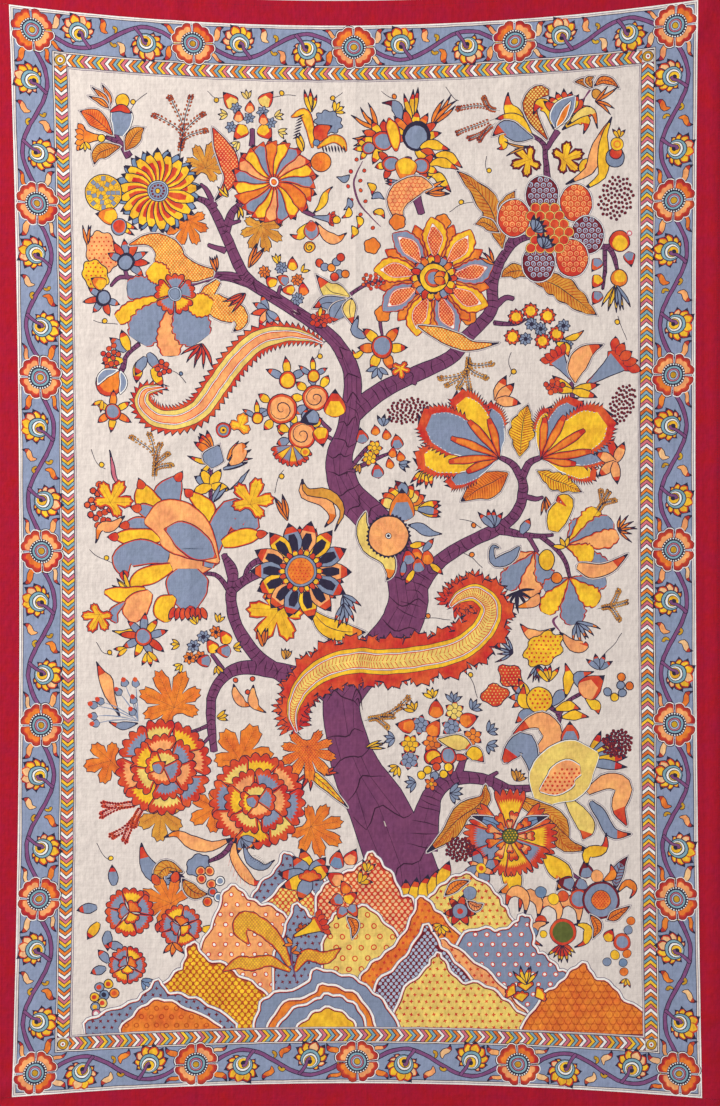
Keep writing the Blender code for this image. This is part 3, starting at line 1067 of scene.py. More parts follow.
TRUNK = Blade(
    [11.0 - 76j, 9.9 - 66.2j, 4.8 - 52.4j, 0.5 - 44.8j, -1.9 - 37.2j, -2.6 - 30j, 2.6 - 22.6j, 8.3 - 16.4j,
     10.6 - 10j, 9.4 - 3.6j, 6.5 + 2.6j, 2.4 + 7j, -1.2 + 10.6j, -3.0 + 15j, -3.1 + 19.2j, -1.7 + 23j,
     -0.7 + 29.8j, -0.9 + 35.8j, -4.5 + 42j, -10.9 + 46.8j, -17.1 + 50.8j, -22.1 + 53.6j, -27.5 + 54.6j,
     -33.4 + 53.0j],
    [8.6, 7.0, 5.9, 4.8, 3.9, 3.6, 3.8, 4.0, 3.9, 3.6, 3.3, 3.2, 3.0, 2.8, 2.5, 2.2, 1.8, 1.6, 1.25, 1.1,
     1.1, 1.0, 0.8, 0.5],
    96)
BRANCHES = [
    TRUNK,
    limb([-20.5 + 53j, -23.0 + 56j, -26.3 + 63.5j, -29 + 68.6j, -32 + 70.4j], [1.0, 1.0, 0.9, 0.7, 0.4], 22),
    limb([-26.0 + 63.4j, -24.8 + 67j, -22.6 + 69.6j], [0.9, 0.7, 0.4], 10),
    limb([-28.0 + 68.4j, -29.8 + 71.8j, -31 + 73j], [0.5, 0.4, 0.2], 6),
    limb([-25.6 + 65j, -23 + 65.6j], [0.5, 0.25], 5),
    limb([-26.0 + 59.6j, -29.5 + 60.8j], [0.6, 0.3], 6),
    limb([-1.2 + 26.6j, 4.5 + 31.2j, 10.7 + 34.4j, 18.9 + 38.2j, 22.3 + 42.4j, 27.1 + 47.6j, 27.4 + 52.8j,
          29 + 57.6j, 32.0 + 61.4j, 35.5 + 62.6j], [2.0, 1.7, 1.5, 1.35, 1.25, 1.15, 1.0, 0.9, 0.7, 0.35],
          46),
    limb([10 + 34j, 12.2 + 33.2j], [0.6, 0.4], 5),
    limb([28.0 + 48.6j, 30 + 50.2j, 31.6 + 50j], [0.6, 0.5, 0.35], 7),
    limb([27.4 + 53j, 24.4 + 56.6j, 22.6 + 58.6j, 19.3 + 58.4j], [0.8, 0.8, 0.6, 0.3], 12),
    limb([27.2 + 53.4j, 23.9 + 55.2j, 19.5 + 55.6j], [0.7, 0.6, 0.7], 10),
    limb([28.6 + 56.8j, 31.5 + 63j], [0.6, 0.4], 6),
    limb([38.4 + 74j, 38.0 + 78j, 37.6 + 81j, 34.8 + 83j], [0.6, 0.45, 0.4, 0.3], 10),
    limb([38.2 + 80j, 40.4 + 83.6j], [0.4, 0.6], 6),
    limb([-3.6 - 29j, -9.5 - 26.0j, -18.9 - 23.8j, -24.8 - 24.4j, -28.4 - 28.6j, -28.9 - 34j, -28.3 - 40.5j],
         [2.8, 1.9, 1.5, 1.1, 0.9, 0.85, 0.6], 36),
    limb([-28.6 - 34.8j, -32 - 36.4j, -35 - 36.6j], [0.3, 0.25, 0.2], 6),
    limb([-28.6 - 37j, -31 - 39.4j], [0.3, 0.2], 5),
    limb([-13 - 26.2j, -19.5 - 21.6j, -23.6 - 15.6j, -24.9 - 10j, -24.5 - 4.4j, -26.3 - 1.4j],
         [1.6, 1.3, 1.1, 1.0, 0.9, 0.5], 28),
    limb([-24.6 - 8j, -20.6 - 5.4j, -13.5 - 3.6j], [0.9, 0.8, 0.7], 14),
    limb([-22.8 - 7j, -20.4 - 2.8j, -14.5 - 1.4j], [0.3, 0.5, 0.6], 12),
    limb([-24.8 - 9j, -27.6 - 5.4j, -31 - 4.8j], [0.5, 0.4, 0.2], 8),
    limb([-24.8 - 6j, -26.3 - 1j], [0.6, 0.5], 5),
    limb([-28.2 + 4j, -28.9 + 10j, -29.0 + 16j], [0.35, 0.3, 0.35], 8),
    limb([-26.5 - 24j, -28.8 - 21j], [0.4, 0.3], 5),
    limb([9.8 - 13.6j, 13.2 - 6.6j, 17.4 - 2.0j, 23.3 + 1.6j, 29.1 + 4.4j, 32.4 + 7.6j, 33.5 + 11.6j,
          33.2 + 14.8j],
         [2.6, 1.8, 1.35, 1.2, 1.1, 1.0, 0.9, 0.8], 40),
    limb([33.3 + 13.6j, 31.6 + 16.8j, 28.7 + 18.4j], [0.7, 0.6, 0.35], 9),
    limb([33.2 + 13.8j, 34.6 + 17j, 37.1 + 18.4j], [0.7, 0.6, 0.35], 9),
    limb([33.4 + 10.6j, 36 + 10.0j, 37.4 + 10.4j], [0.5, 0.4, 0.25], 7),
    limb([28 + 4j, 32.6 + 3.0j, 36 + 2.6j, 39.5 + 2.8j], [0.9, 0.6, 0.4, 0.25], 12),
    limb([34.4 + 2.8j, 36.4 - 0.6j], [0.4, 0.3], 6),
    limb([37 + 2.6j, 40.4 - 0.2j, 42.1 - 3j, 42.9 - 5.8j], [0.4, 0.4, 0.35, 0.25], 10),
    limb([13.0 - 60j, 14.4 - 52.4j, 16.2 - 48.2j, 20.3 - 45.8j, 26.3 - 46.2j, 31 - 48j, 36.6 - 47.6j],
         [3.4, 2.4, 1.7, 1.3, 1.0, 0.8, 0.5], 34),
    limb([20.2 - 46.2j, 21.4 - 42.6j, 22.6 - 41j], [0.8, 0.6, 0.3], 7),
    limb([26.3 - 46j, 28.4 - 44.6j], [0.5, 0.3], 5),
    limb([27.6 - 46.8j, 30.2 - 50.6j], [0.7, 0.5], 6),
    limb([40.5 - 35.2j, 40.8 - 33j, 38.6 - 31.5j], [0.3, 0.4, 0.3], 7),
    limb([40.4 - 33.4j, 42.6 - 30.4j, 45 - 29j], [0.4, 0.35, 0.25], 7),
    limb([-23.4 - 56.5j, -26.2 - 60.8j, -29.5 - 62.6j], [0.5, 0.4, 0.25], 8),
    limb([39.6 - 64j, 42.6 - 64.6j, 44.9 - 66j], [0.2, 0.3, 0.2], 7),
    limb([-45.2 + 78.4j, -47.1 + 81.2j, -50.0 + 82.4j], [0.7, 0.5, 0.3], 9),
    limb([-46.6 + 80.6j, -48.3 + 83.6j], [0.4, 0.3], 5),
    limb([-20.7 + 80.6j, -20.6 + 84j], [0.5, 0.4], 5),
    limb([-44 + 54j, -47 + 54.4j, -49 + 52.6j], [0.4, 0.35, 0.2], 7),
    limb([-45.7 + 54.4j, -46.4 + 57j], [0.35, 0.3], 5),
    limb([-43.2 + 41j, -45.7 + 38.8j, -46.8 + 35.6j, -49.8 + 30.6j], [0.4, 0.35, 0.5, 0.25], 11),
    limb([-10.6 + 67.8j, -8.2 + 66.6j], [0.45, 0.3], 5),
    limb([-15.8 + 49.6j, -15.0 + 52.6j], [0.35, 0.25], 5),
    limb([-1.4 + 50.6j, 1.5 + 52.6j, 5 + 53.6j], [0.3, 0.3, 0.25], 7),
    limb([10.4 + 72.4j, 10.6 + 78.4j], [0.9, 0.6], 6),
    limb([12.0 + 71j, 13.2 + 67j], [0.9, 0.6], 6),
    limb([47.7 + 60.2j, 50.4 + 60.4j, 51.9 + 57.8j, 52.7 + 53.8j], [0.3, 0.5, 0.35, 0.2], 10),
    limb([49.8 + 60j, 49.9 + 56j, 49.4 + 52j], [0.35, 0.3, 0.2], 8),
    limb([50.1 + 60.2j, 52.9 + 62j], [0.35, 0.25], 5),
    limb([27.6 + 45.2j, 32 + 45.0j, 34 + 46j], [0.4, 0.3, 0.2], 7),
    limb([43.4 + 29.6j, 43.2 + 33.4j], [0.4, 0.3], 5),
    limb([4.9 + 45.6j, 5.3 + 42.8j], [0.25, 0.2], 4),
    limb([-2.2 + 14.6j, 1.8 + 19.6j, 3.9 + 21j], [0.4, 0.35, 0.2], 8),
    limb([-1.8 + 15.2j, 4.9 + 18.4j, 8.2 + 19.4j], [0.35, 0.3, 0.15], 8),
    limb([-5 + 23.6j, -7.4 + 26.2j], [0.35, 0.25], 5),
    limb([-4.8 + 22j, -9.0 + 24.4j], [0.3, 0.2], 5),
    limb([0.4 + 32j, -0.4 + 35j], [0.3, 0.2], 4),
]
limb_numbers = limbs(BRANCHES)
BARK = random.Random(5)


def crack(blade, rows, columns, number, wide):
    """Bark: crooked cracks across a limb, joined by short ones along it, so they close into plates."""
    last = None
    for share in np.linspace(0.02, 0.96, rows):
        sides = np.linspace(-0.96, 0.96, columns)
        spots = [blade.at(min(share + BARK.uniform(-0.3, 0.3) / rows, 1),
                          side + BARK.uniform(-0.12, 0.12)) for side in sides]
        stroke(spots, wide, "bark", columns * 2, number)
        if last is not None:
            for k in range(1, columns - 1):
                if BARK.random() < 0.8:
                    stroke([last[k], spots[k]], wide, "bark", 2, number)
        last = spots


for blade, number in zip(BRANCHES, limb_numbers):
    long = abs(np.diff(blade.mid)).sum()
    wide = blade.half.mean()
    if blade is TRUNK:
        crack(blade, 30, 5, number, 0.27)
    elif long > 6:
        crack(blade, int(long / (0.8 + 0.55 * wide)), 3, number, 0.2)
knot = TRUNK.at(0.225, -0.78)
stroke(knot + np.array([-1.2 - 0.6j, -0.4 + 1.9j, 0.5 + 0.4j, 0.9 - 2.2j]), 0.3, "bark", 10)
stroke(knot + np.array([-0.6 - 0.7j, 0, 0.5 - 1.4j]), 0.24, "bark", 8)
print(len(outlines), "outlines with the tree")

# %% [markdown]
# ## What grows on the tree
# Leaves are drawn before the flowers that hide their stalks. Places were judged and are only as exact as a
# painter would be in drawing the panel again.

# %% The top left
for end, wide in ((-50.6 + 92.8j, 0.6), (-52.7 + 92.4j, 0.6), (-53.3 + 90.6j, 0.55)):
    leaf([-49.3 + 88.2j, (-49.3 + 88.2j + end) / 2 + 0.5, end], wide, "orange", None, 0)
leaf([-48.6 + 82.9j, -51.4 + 85.6j, -53.2 + 86.8j, -55.0 + 87.6j], 1.7, "orange", "red")
leaf([-47.1 + 80.4j, -49.8 + 79.9j, -51.6 + 78.9j, -52.3 + 77.0j], 1.5, "ochre", "rust")
leaf([-46.0 + 79.8j, -44.8 + 81.6j, -43.6 + 83.4j, -42.2 + 84.2j], 1.5, "ochre", "rust")
trumpet(-50.0 + 82.2j, 178, 5.0, 1.9, "orange", "orange", 0.0)
draw(ball(-50.8 + 82.1j, 0.75), "yellow")
leaflets(-54.0 + 81.4j, 268, 2.0, 3, 70, "yellow")
draw(ball(-46.6 + 89.6j, 1.4), "yellow")
broad([-47.4 + 82.8j, -46.8 + 85.2j, -46.9 + 88.0j], 2.1, "grey", "white", (0.55, 0.85, 1.1, 0.9))
broad([-49.0 + 87.4j, -46.9 + 88.2j, -44.9 + 87.2j], 0.7, "red", None)
tendril([-44.9 + 88.0j, -43.6 + 89.8j, -41.6 + 91.2j], "yellow", 0.3)
spray(-35.1 + 78.0j, [-40.4 + 86.4j, -37.3 + 90.0j, -32.9 + 90.2j, -30.4 + 86.7j, -29.9 + 83.4j], 0.25,
      "rust", "ink")
maple(-29.9 + 76.6j, 4.8, 75, "ochre", "rust", 7)
maple(-33.6 + 65.4j, 5.0, 250, "orange", "rust", 7)
maple(-18.8 + 64.2j, 4.9, 285, "ochre", "rust", 7)
blade, number = leaf([-28.5 + 84.2j, -26.8 + 80.6j, -25.3 + 77.4j, -25.2 + 73.6j, -28.0 + 69.8j], 1.9,
                     "red", None, 0, rib=None)
net(blade.edge(-0.2), number, "peach", 0.7, 0.2)
sunflower(-39.5 + 71.6j, 8.6)
for ring, radius in enumerate((0.9, 1.9, 2.9)):
    if not ring:
        draw(ball(-50.4 + 71.2j, 3.7, 24), "yellow")
    for k in range(6 + 5 * ring):
        spot = way(360 / (6 + 5 * ring) * k)
        block = -50.4 + 71.2j + spot * (radius + 0.42 * np.array([-1 - 0.9j, 1 - 0.9j, 1 + 0.9j, -1 + 0.9j]))
        if (-50.4 + 71.2j + spot * radius).real < -46.6:
            fill(grow(block, 0.08), "ink")
            fill(block, ("grey", "yellow")[k % 2])
claws(-47.6 + 65.4j, 330, 4.2, 2, 40, "yellow", 1.1, 0.2, "red")
drop(-49.4 + 66.6j, 1.7, 170, "yellow", "orange")
bud(-47.3 + 64.4j, 1.7, 250, "red", "grey", ("grey",), 0)
pinwheel(-16.3 + 73.4j, 8.0)
for spot, angle in ((-25.0 + 89.6j, 130), (-17.9 + 89.8j, 50), (-22.9 + 83.5j, 230), (-18.1 + 83.5j, 310)):
    drop(spot, 1.45, angle, "straw" if spot.imag > 86 else "yellow", "red")
for spot in (-23.9 + 88.2j, -18.6 + 87.4j, -21.3 + 86.2j, -24.9 + 84.4j, -16.9 + 85.2j):
    star(spot, 1.25, "grey", 6, 10, "grey", None)
for spot in (-23.4 + 86.4j, -18.4 + 85.8j, -21.1 + 88.2j):
    drop(spot, 0.95, 90, "peach", "red")
for spot, angle in ((-21.7 + 90.0j, 95), (-25.6 + 86.8j, 175), (-16.2 + 86.6j, 10), (-15.4 + 83.6j, 340),
                    (-23.2 + 81.2j, 215)):
    leaflets(spot, angle, 1.9, 3, 70, "straw")
tendril([-26.2 + 90.2j, -28 + 90.2j, -29.6 + 91.6j], "yellow", 0.4)
tendril([-16.8 + 90.2j, -14.2 + 90.8j, -11.9 + 90.6j], "yellow", 0.4)
# The bird-like flower.
claws(-9.0 + 87.4j, 88, 4.4, 4, 50, "yellow", 0.9, 0.12, "red")
broad([-8.6 + 80.2j, -9.1 + 84.2j, -10.4 + 87.2j, -12.8 + 86.4j], 1.0, "yellow", "orange")
broad([-7.6 + 80.2j, -4.8 + 82.0j, -2.8 + 81.4j, -1.9 + 79.6j], 0.9, "yellow", "orange")
for k in range(8):
    petal(-10.4 + 86.9j - k * (0.12 + 0.62j), 205, 1.5, 0.3, "ink", pen=0.05, steps=4)
    petal(-6.6 + 80.6j + k * 0.6, 285, 1.4, 0.3, "ink", pen=0.05, steps=4)
claws(-10.6 + 79.6j, 105, 3.4, 2, 30, "yellow", 1.0, 0.15)
draw(frilled(-5.4 + 85.4j, 3.0, 9, 0.24, squash=0.8, lean=-20), "grey")
flame([-7.6 + 81.2j, -6.8 + 83.4j, -4.8 + 84.6j], 1.7, "red", None)
rings(-7.8 + 81.2j, (0.75, "ink"), (0.6, "blue"))
draw(ball(-6.9 + 77.4j, 2.0), "orange")
for k in range(13):
    stroke([-6.9 + 77.4j, -6.9 + 77.4j + 1.7 * way(27.7 * k)], 0.1, "red", 2)
leaflets(-4.2 + 87.6j, 40, 2.2, 4, 100, "yellow")
tendril([-4.8 + 88.2j, -4.2 + 89.9j, -2.6 + 91.2j], "yellow", 0.5)
# Below the pinwheel.
claws(-25.6 + 70.4j, 120, 2.6, 3, 60, "yellow", 0.6)
claws(-23.2 + 68.4j, 280, 2.6, 3, 50, "yellow", 0.6)
flame([-8.4 + 67.2j, -6.6 + 69.0j, -6.0 + 71.0j, -4.6 + 72.4j], 0.8, "yellow", "orange")
trumpet(-8.6 + 66.4j, 355, 4.2, 1.1, "grey", "red", 0.0)
draw(ball(-3.8 + 65.8j, 0.8), "yellow")
flame([-8.0 + 65.4j, -5.8 + 62.6j, -3.6 + 62.0j, -1.8 + 63.2j], 1.1, "peach", "orange")
flame([-9.0 + 65.4j, -10.4 + 63.8j, -11.4 + 62.4j, -13.1 + 62.9j], 1.0, "yellow", "red")
broad([-8.9 + 65.6j, -8.8 + 63.6j, -8.8 + 61.8j], 1.5, "grey", "red")
fill(ball(-8.9 + 64.4j, 1.0, 10), "red")
snail(-9.2 + 60.4j, 1.1, 40, "yellow", "orange")
stroke([1.4 + 77.6j, -0.3 + 73.4j, 0.9 + 69.0j, 5.0 + 64.4j], 0.4, "ink", 18)
stroke([1.4 + 77.6j, -0.3 + 73.4j, 0.9 + 69.0j, 5.0 + 64.4j], 0.26, "purple", 18)
vine = Blade([1.4 + 77.6j, -0.3 + 73.4j, 0.9 + 69.0j, 5.0 + 64.4j], [1.2] * 4, 20)
for k, share in enumerate(np.linspace(0.02, 0.95, 11)):
    draw(ball(vine.at(share, 1 if k % 2 else -1), 0.4, 8), "red", pen=0.12)
for spot, angle, dye in ((-1.2 + 74.8j, 200, "grey"), (-1.4 + 70.2j, 260, "grey"), (3.2 + 70.0j, 10, "grey"),
                         (-1.4 + 68.4j, 250, "yellow"), (3.6 + 67.4j, 340, "yellow"),
                         (0.2 + 66.6j, 285, "yellow"),
                         (2.4 + 73.2j, 300, "yellow"), (-0.8 + 64.6j, 280, "yellow")):
    flame([spot, spot + 1.4 * way(angle + 20), spot + 2.6 * way(angle - 10)], 0.7, dye,
          "red" if dye == "yellow" else None)
print(len(outlines), "outlines after the top left")

# %% Tulips and the fluted daisy, at the top middle
claws(4.4 + 83.8j, 130, 5.4, 4, 70, "orange", 0.8, 0.25)
claws(3.0 + 82.2j, 195, 3.6, 3, 50, "orange", 0.7, 0.25)
claws(11.2 + 86.0j, 92, 6.0, 3, 40, "yellow", 1.1, 0.1, "red")
claws(15.2 + 85.0j, 50, 6.2, 4, 60, "orange", 0.8, 0.3)
flame([8.8 + 84j, 8.6 + 87.4j, 7.6 + 89j, 5.4 + 89.2j], 1.1, "grey", "maroon")
petal_ring(11.4 + 82.0j, 11, 1.2, 6.2, 1.8, ("yellow", "red", "orange"), "red", start=-60, spread=260)
bud(5.4 + 81.6j, 2.1, 150, "grey", "red", ("yellow", "red"), 7, 200, 1.8)
bud(2.6 + 80.2j, 1.3, 190, "grey", "red", ("yellow",), 3, 90, 1.7)
broad([8.2 + 79.6j, 7.6 + 83.2j, 6.6 + 86.2j], 1.3, "yellow", "red")
bud(12.2 + 82.6j, 3.0, 70, "grey", "ink", ("red",), 0)
for spot, angle in ((15.6 + 78.6j, -8), (14.4 + 76.6j, 8), (14.0 + 75.0j, -22), (12.6 + 80.0j, 12)):
    flame([spot, spot + 2.2 * way(angle + 14), spot + 4.4 * way(angle - 6), spot + 6.2 * way(angle - 14)],
          1.0, "yellow", "red")
bud(7.0 + 77.0j, 1.7, 190, "grey", "red", ("red", "yellow"), 3, 120, 1.5)
bud(13.2 + 76.6j, 1.7, -20, "grey", "red", ("red", "yellow"), 3, 120, 1.5)
drop(10.1 + 76.0j, 2.2, 265, "yellow", "orange")
claws(9.6 + 73.0j, 175, 4.2, 3, 30, "grey", 0.9, 0.2, "red")
claws(12.0 + 72.8j, 10, 4.0, 3, 60, "yellow", 0.8, 0.2)
claws(14.0 + 71.2j, 15, 4.6, 5, 70, "orange", 0.7, 0.3)
blade, number = leaf([15.4 + 72.4j, 12.6 + 72.8j, 8.9 + 70.8j, 8.3 + 67.6j, 9.8 + 65.2j], 2.3, "peach",
                     None, 0, rib=None)
scales(blade.edge(-0.2), number, "peach", "red", 0.9)
for spot, lean in ((3.3 + 60.6j, 150), (8.4 + 65.4j, 110), (17.4 + 65.4j, 70), (22.6 + 46.4j, -30),
                   (5.4 + 47.0j, 240)):
    draw(frilled(spot, 1.7, 5, 0.2, lean=lean), "orange")
fluted_daisy(15.7 + 54.2j, 11.2)
berry_patch(3.4 + 53.6j, 2.4, 1.6, 0.36, "red", 16, edge="ink")
tendril([18 + 92.4j, 19.6 + 90.2j, 20.6 + 89.6j], None)
tendril([5.2 + 91.6j, 6.6 + 90.4j, 7.8 + 90.0j], "orange", 0.9)
tendril([26.2 + 78.6j, 26.0 + 76.6j, 26.3 + 75.4j], "yellow", 0.9)
tendril([18.8 + 67.4j, 20.8 + 68.8j, 23.8 + 69.4j], "yellow", 0.6)
print(len(outlines), "outlines after the tulips")

# %% The top right
spray(28.9 + 87.6j, [20.7 + 87.9j, 25.8 + 90.2j], 0.24, "rust", "ink")
spray(28.3 + 86.2j, [20.4 + 83.2j], 0.24, "rust", "ink")
spray(28.1 + 85.2j, [22.8 + 82.2j, 24.9 + 81.8j], 0.24, "rust", "ink")
flame([34.6 + 83.6j, 32.4 + 86.2j, 30.6 + 88.4j, 30.5 + 91.2j], 1.5, "yellow", "red")
flame([35.7 + 82.2j, 33.0 + 85.4j, 30.0 + 86.2j, 28.0 + 86.0j], 1.2, "yellow", "red")
flame([32.0 + 82.4j, 29.6 + 82.6j, 29.6 + 80.4j, 28.4 + 80.0j], 0.9, "yellow", "red")
leaf([35.4 + 82.2j, 32.4 + 83.0j, 29.8 + 84.4j, 27.4 + 82.6j], 1.7, "grey", None, 0, "red", rib=None)
blade, number = leaf([38.4 + 82.0j, 35.8 + 85.6j, 34.9 + 89.0j, 36.6 + 91.4j, 38.2 + 91.4j, 37.6 + 92.4j],
                     1.5, "rust", None, 0, rib=None)
net(blade.edge(-0.2), number, "straw", 0.7, 0.22)
flame([39.6 + 84.0j, 38.6 + 88.0j, 36.6 + 89.0j, 35.6 + 87.0j], 1.3, "yellow", "red")
petal_ring(42 + 86.2j, 9, 1.4, 5.6, 1.9, ("yellow", "straw", "red"), "red", start=10, spread=150)
flame([41.4 + 83.8j, 44.2 + 86.0j, 46.2 + 85.4j, 45.6 + 83.0j], 1.2, "yellow", "red")
flame([42.4 + 84.8j, 45.2 + 87.2j, 47.4 + 87.4j, 48.4 + 84.2j], 0.9, "straw", "orange")
broad([40.0 + 84.4j, 41.0 + 87.0j, 43.9 + 90.6j], 2.1, "grey", "white")
broad([40.2 + 84.2j, 41.4 + 86.4j, 43.0 + 89.6j], 0.8, "orange", "white")
stroke([45.4 + 89.6j, 47.4 + 92.4j, 48.4 + 93.0j], 0.5, "purple")
leaf([47.4 + 92.0j, 45.8 + 93.4j, 43.9 + 93.4j], 0.8, "ochre", "rust", 8)
leaf([47.8 + 92.6j, 49.4 + 93.8j, 51.2 + 93.4j, 52.6 + 92.2j], 0.8, "orange", "rust", 8)
leaf([47.4 + 92.2j, 46.6 + 93.8j, 47.6 + 94.4j], 0.7, "ochre", "rust", 6)
draw(ball(48.2 + 91.0j, 1.0), "ochre")
claws(48.0 + 89.6j, 5, 4.4, 4, 60, "orange", 0.6, -0.3)
maple(34.6 + 77.8j, 3.7, 200, "yellow", None, 5, "maroon")
maple(41.9 + 78.0j, 3.9, 20, "yellow", None, 5, "maroon")
claws(34.6 + 80.4j, 185, 4.2, 2, 10, "ochre", 0.5, 0.4)
draw(ball(46.3 + 76.4j, 1.7), "yellow")
fill(ball(46.5 + 76.4j, 0.8), "red")
flame([42.1 + 73.0j, 46.6 + 75.6j, 48.2 + 79.6j, 49.4 + 83.0j, 51.3 + 86.4j], 1.3, "peach", "orange")
flame([45.4 + 71.8j, 49.2 + 74.6j, 49.6 + 78.6j, 49.8 + 82.6j, 51.3 + 86.4j], 1.2, "yellow", "yellow")
draw(ball(51.9 + 78.2j, 1.9), "grey")
draw(ball(52.1 + 79.2j, 1.25), "red")
rings(52.3 + 81.0j, (1.4, "ink"), (1.25, "yellow"), (0.8, "orange"), (0.5, "yellow"))
leaflets(52.6 + 82.4j, 88, 2.0, 3, 80, "yellow", "maroon")
berry_patch(52.1 + 70.2j, 3.4, 4.6, 0.27, "maroon", 70, -20)
leaf([29.4 + 60.2j, 28.4 + 64.4j, 27.0 + 68.4j, 23.6 + 72.6j, 20.3 + 75.6j], 2.3, "ochre", "rust", 20,
     None, 4)
leaf([28.6 + 66.4j, 30.4 + 69.2j, 31.9 + 71.6j], 1.4, "ochre", "rust", 10, None, 2)
leaf([28.6 + 63.4j, 26.0 + 65.2j, 24.0 + 65.0j], 1.2, "ochre", "rust", 10, None, 2)
leaf([37.0 + 54.8j, 33.0 + 55.6j, 30.6 + 55.4j, 29.2 + 54.4j], 1.5, "ochre", "rust", 12, None, 3)
leaf([34.8 + 54.2j, 38.6 + 53.4j, 42.0 + 51.6j, 45.6 + 48.6j, 48.2 + 46.8j], 2.5, "ochre", "rust", 22,
     None, 5)
for spot, dye, back in ((37.3 + 70.8j, "pale_blue", "maroon"), (44.1 + 69.2j, "peach", "red"),
                        (31.7 + 66.2j, "peach", "red"),
                        (46.4 + 62.8j, "pale_blue", "maroon"), (43.3 + 58.2j, "peach", "red"),
                        (36.6 + 57.2j, "pale_blue", "maroon")):
    scale_oval(spot, 3.7, back, dye, 90)
for row, y in enumerate((68.2, 66.6, 65.0, 63.4, 61.8, 60.2)):
    for k in range(4 + row % 2 - abs(row - 3) // 2):
        spot = 36.0 + 1.9 * k - 0.95 * (row % 2) + 1j * y
        rings(spot, (1.12, "ink"), (1.04, "straw"), (0.9, "red"))
for spot, angle in ((36.6 + 64.8j, 220), (38.0 + 61.6j, 240)):
    for k in range(5):
        petal(spot + 1.4 * way(angle), angle + 180 + (k - 2) * 24, 2.8, 1.0, "grey", "ink")
draw(ball(52.8 + 61.6j, 2.1), "red")
fill(ball(52.9 + 61.2j, 1.5, 14), "yellow")
rings(54.8 + 63.2j, (0.55, "rose"), (0.3, "white"))
for spot, angle, dye in ((48.2 + 57.0j, 240, "grey"), (48.3 + 53.6j, 240, "yellow"),
                         (48.3 + 50.4j, 240, "grey"),
                         (54.8 + 58.2j, 280, "grey")):
    drop(spot, 1.15, angle, dye, "red")
draw(ball(52.7 + 54.2j, 1.7), "orange")
fill(ball(52.9 + 54.5j, 1.2, 12), "yellow")
claws(52.0 + 52.6j, 262, 5.2, 5, 70, "yellow", 0.7, 0.15)
claws(52.4 + 52.6j, 285, 4.6, 3, 50, "grey", 0.7, 0.15)
claws(27.6 + 57.0j, 130, 3.0, 4, 80, "orange", 0.6, 0.3, "red")
for spot in (32.1 + 46.4j, 35.0 + 47.6j, 38.4 + 46.6j, 37.4 + 41.6j, 31.4 + 42.4j, 40.2 + 43.0j):
    star(spot, 1.75, "red", 9, 10, "yellow", None)
    fill(ball(spot, 0.95, 9), "yellow")
for spot in (34.0 + 42.0j, 37.0 + 44.0j, 41.6 + 44.6j, 42.2 + 41.0j, 35.2 + 45.0j):
    star(spot, 1.4, "grey", 8, 0, "ink", None)
flame([41.6 + 42.0j, 43.8 + 42.4j, 45.6 + 43.6j], 0.7, "yellow", "orange")
flame([40.0 + 41.4j, 42.0 + 40.2j, 42.6 + 38.4j], 1.0, "yellow", "orange")
trumpet(43.4 + 33.8j, 128, 6.4, 2.1, "grey", "red", -0.05)
trumpet(46.4 + 33.0j, 34, 9.4, 3.0, "grey", "red", 0.06)
leaf([43.9 + 33.2j, 44.2 + 36.4j, 46.2 + 39.4j, 49.4 + 40.8j], 1.9, "peach", None, 0, "red", rib=None)
for angle, long in ((20, 5.6), (-8, 5.0), (150, 5.0), (175, 5.6)):
    petal(43.4 + 31.6j, angle, long, 1.7, "yellow", "red", bend=-0.12)
berry_patch(39.8 + 32.4j, 1.9, 1.4, 0.5, "red", 10, edge="ink")
tendril([54.2 + 41.8j, 53.4 + 44.0j, 52.4 + 46.6j], "yellow", 0.8)
print(len(outlines), "outlines after the top right")

# %% The upper left, round the first serpent leaf
draw(frilled(-50.6 + 59.4j, 3.4, 8, 0.14, squash=1.3, lean=15), "peach")
for spot in spots_in(ball(-50.6 + 59.4j, 3.0, squash=1.25, lean=15), 0.95):
    fill(ball(spot, 0.2, 6), "red")
draw(frilled(-52.0 + 54.8j, 2.6, 7, 0.16, squash=1.3, lean=30), "yellow")
for spot in spots_in(ball(-52.0 + 54.8j, 2.2, squash=1.25, lean=30), 0.95):
    fill(ball(spot, 0.2, 6), "red")
claws(-53.6 + 61.0j, 95, 3.6, 3, 50, "orange", 0.6)
bud(-45.9 + 57.4j, 1.8, 60, "grey", "ink", ("grey", "red"), 7, 190, 2.0)
bud(-50.4 + 50.2j, 1.6, 240, "grey", "ink", ("grey", "red"), 5, 190, 2.0)
drop(-51.2 + 53.2j, 1.3, 150, "yellow", "orange")
for spine, wide in (([-28.4 + 55.2j, -33.0 + 55.4j, -36.6 + 57.2j, -38.0 + 60.2j, -41.2 + 61.9j,
                      -45.2 + 60.8j], 3.0),
                    ([-27.4 + 53.6j, -29.6 + 50.8j, -27.4 + 48.4j, -23.4 + 46.8j, -23.0 + 44.8j,
                      -24.4 + 43.6j], 2.3)):
    blade, number = leaf(spine, wide, "orange", None, 0, rib=None, swell=(0.25, 0.8, 1, 0.5, 0.04))
    net(blade.edge(-0.15), number, "straw", 0.62, 0.2)
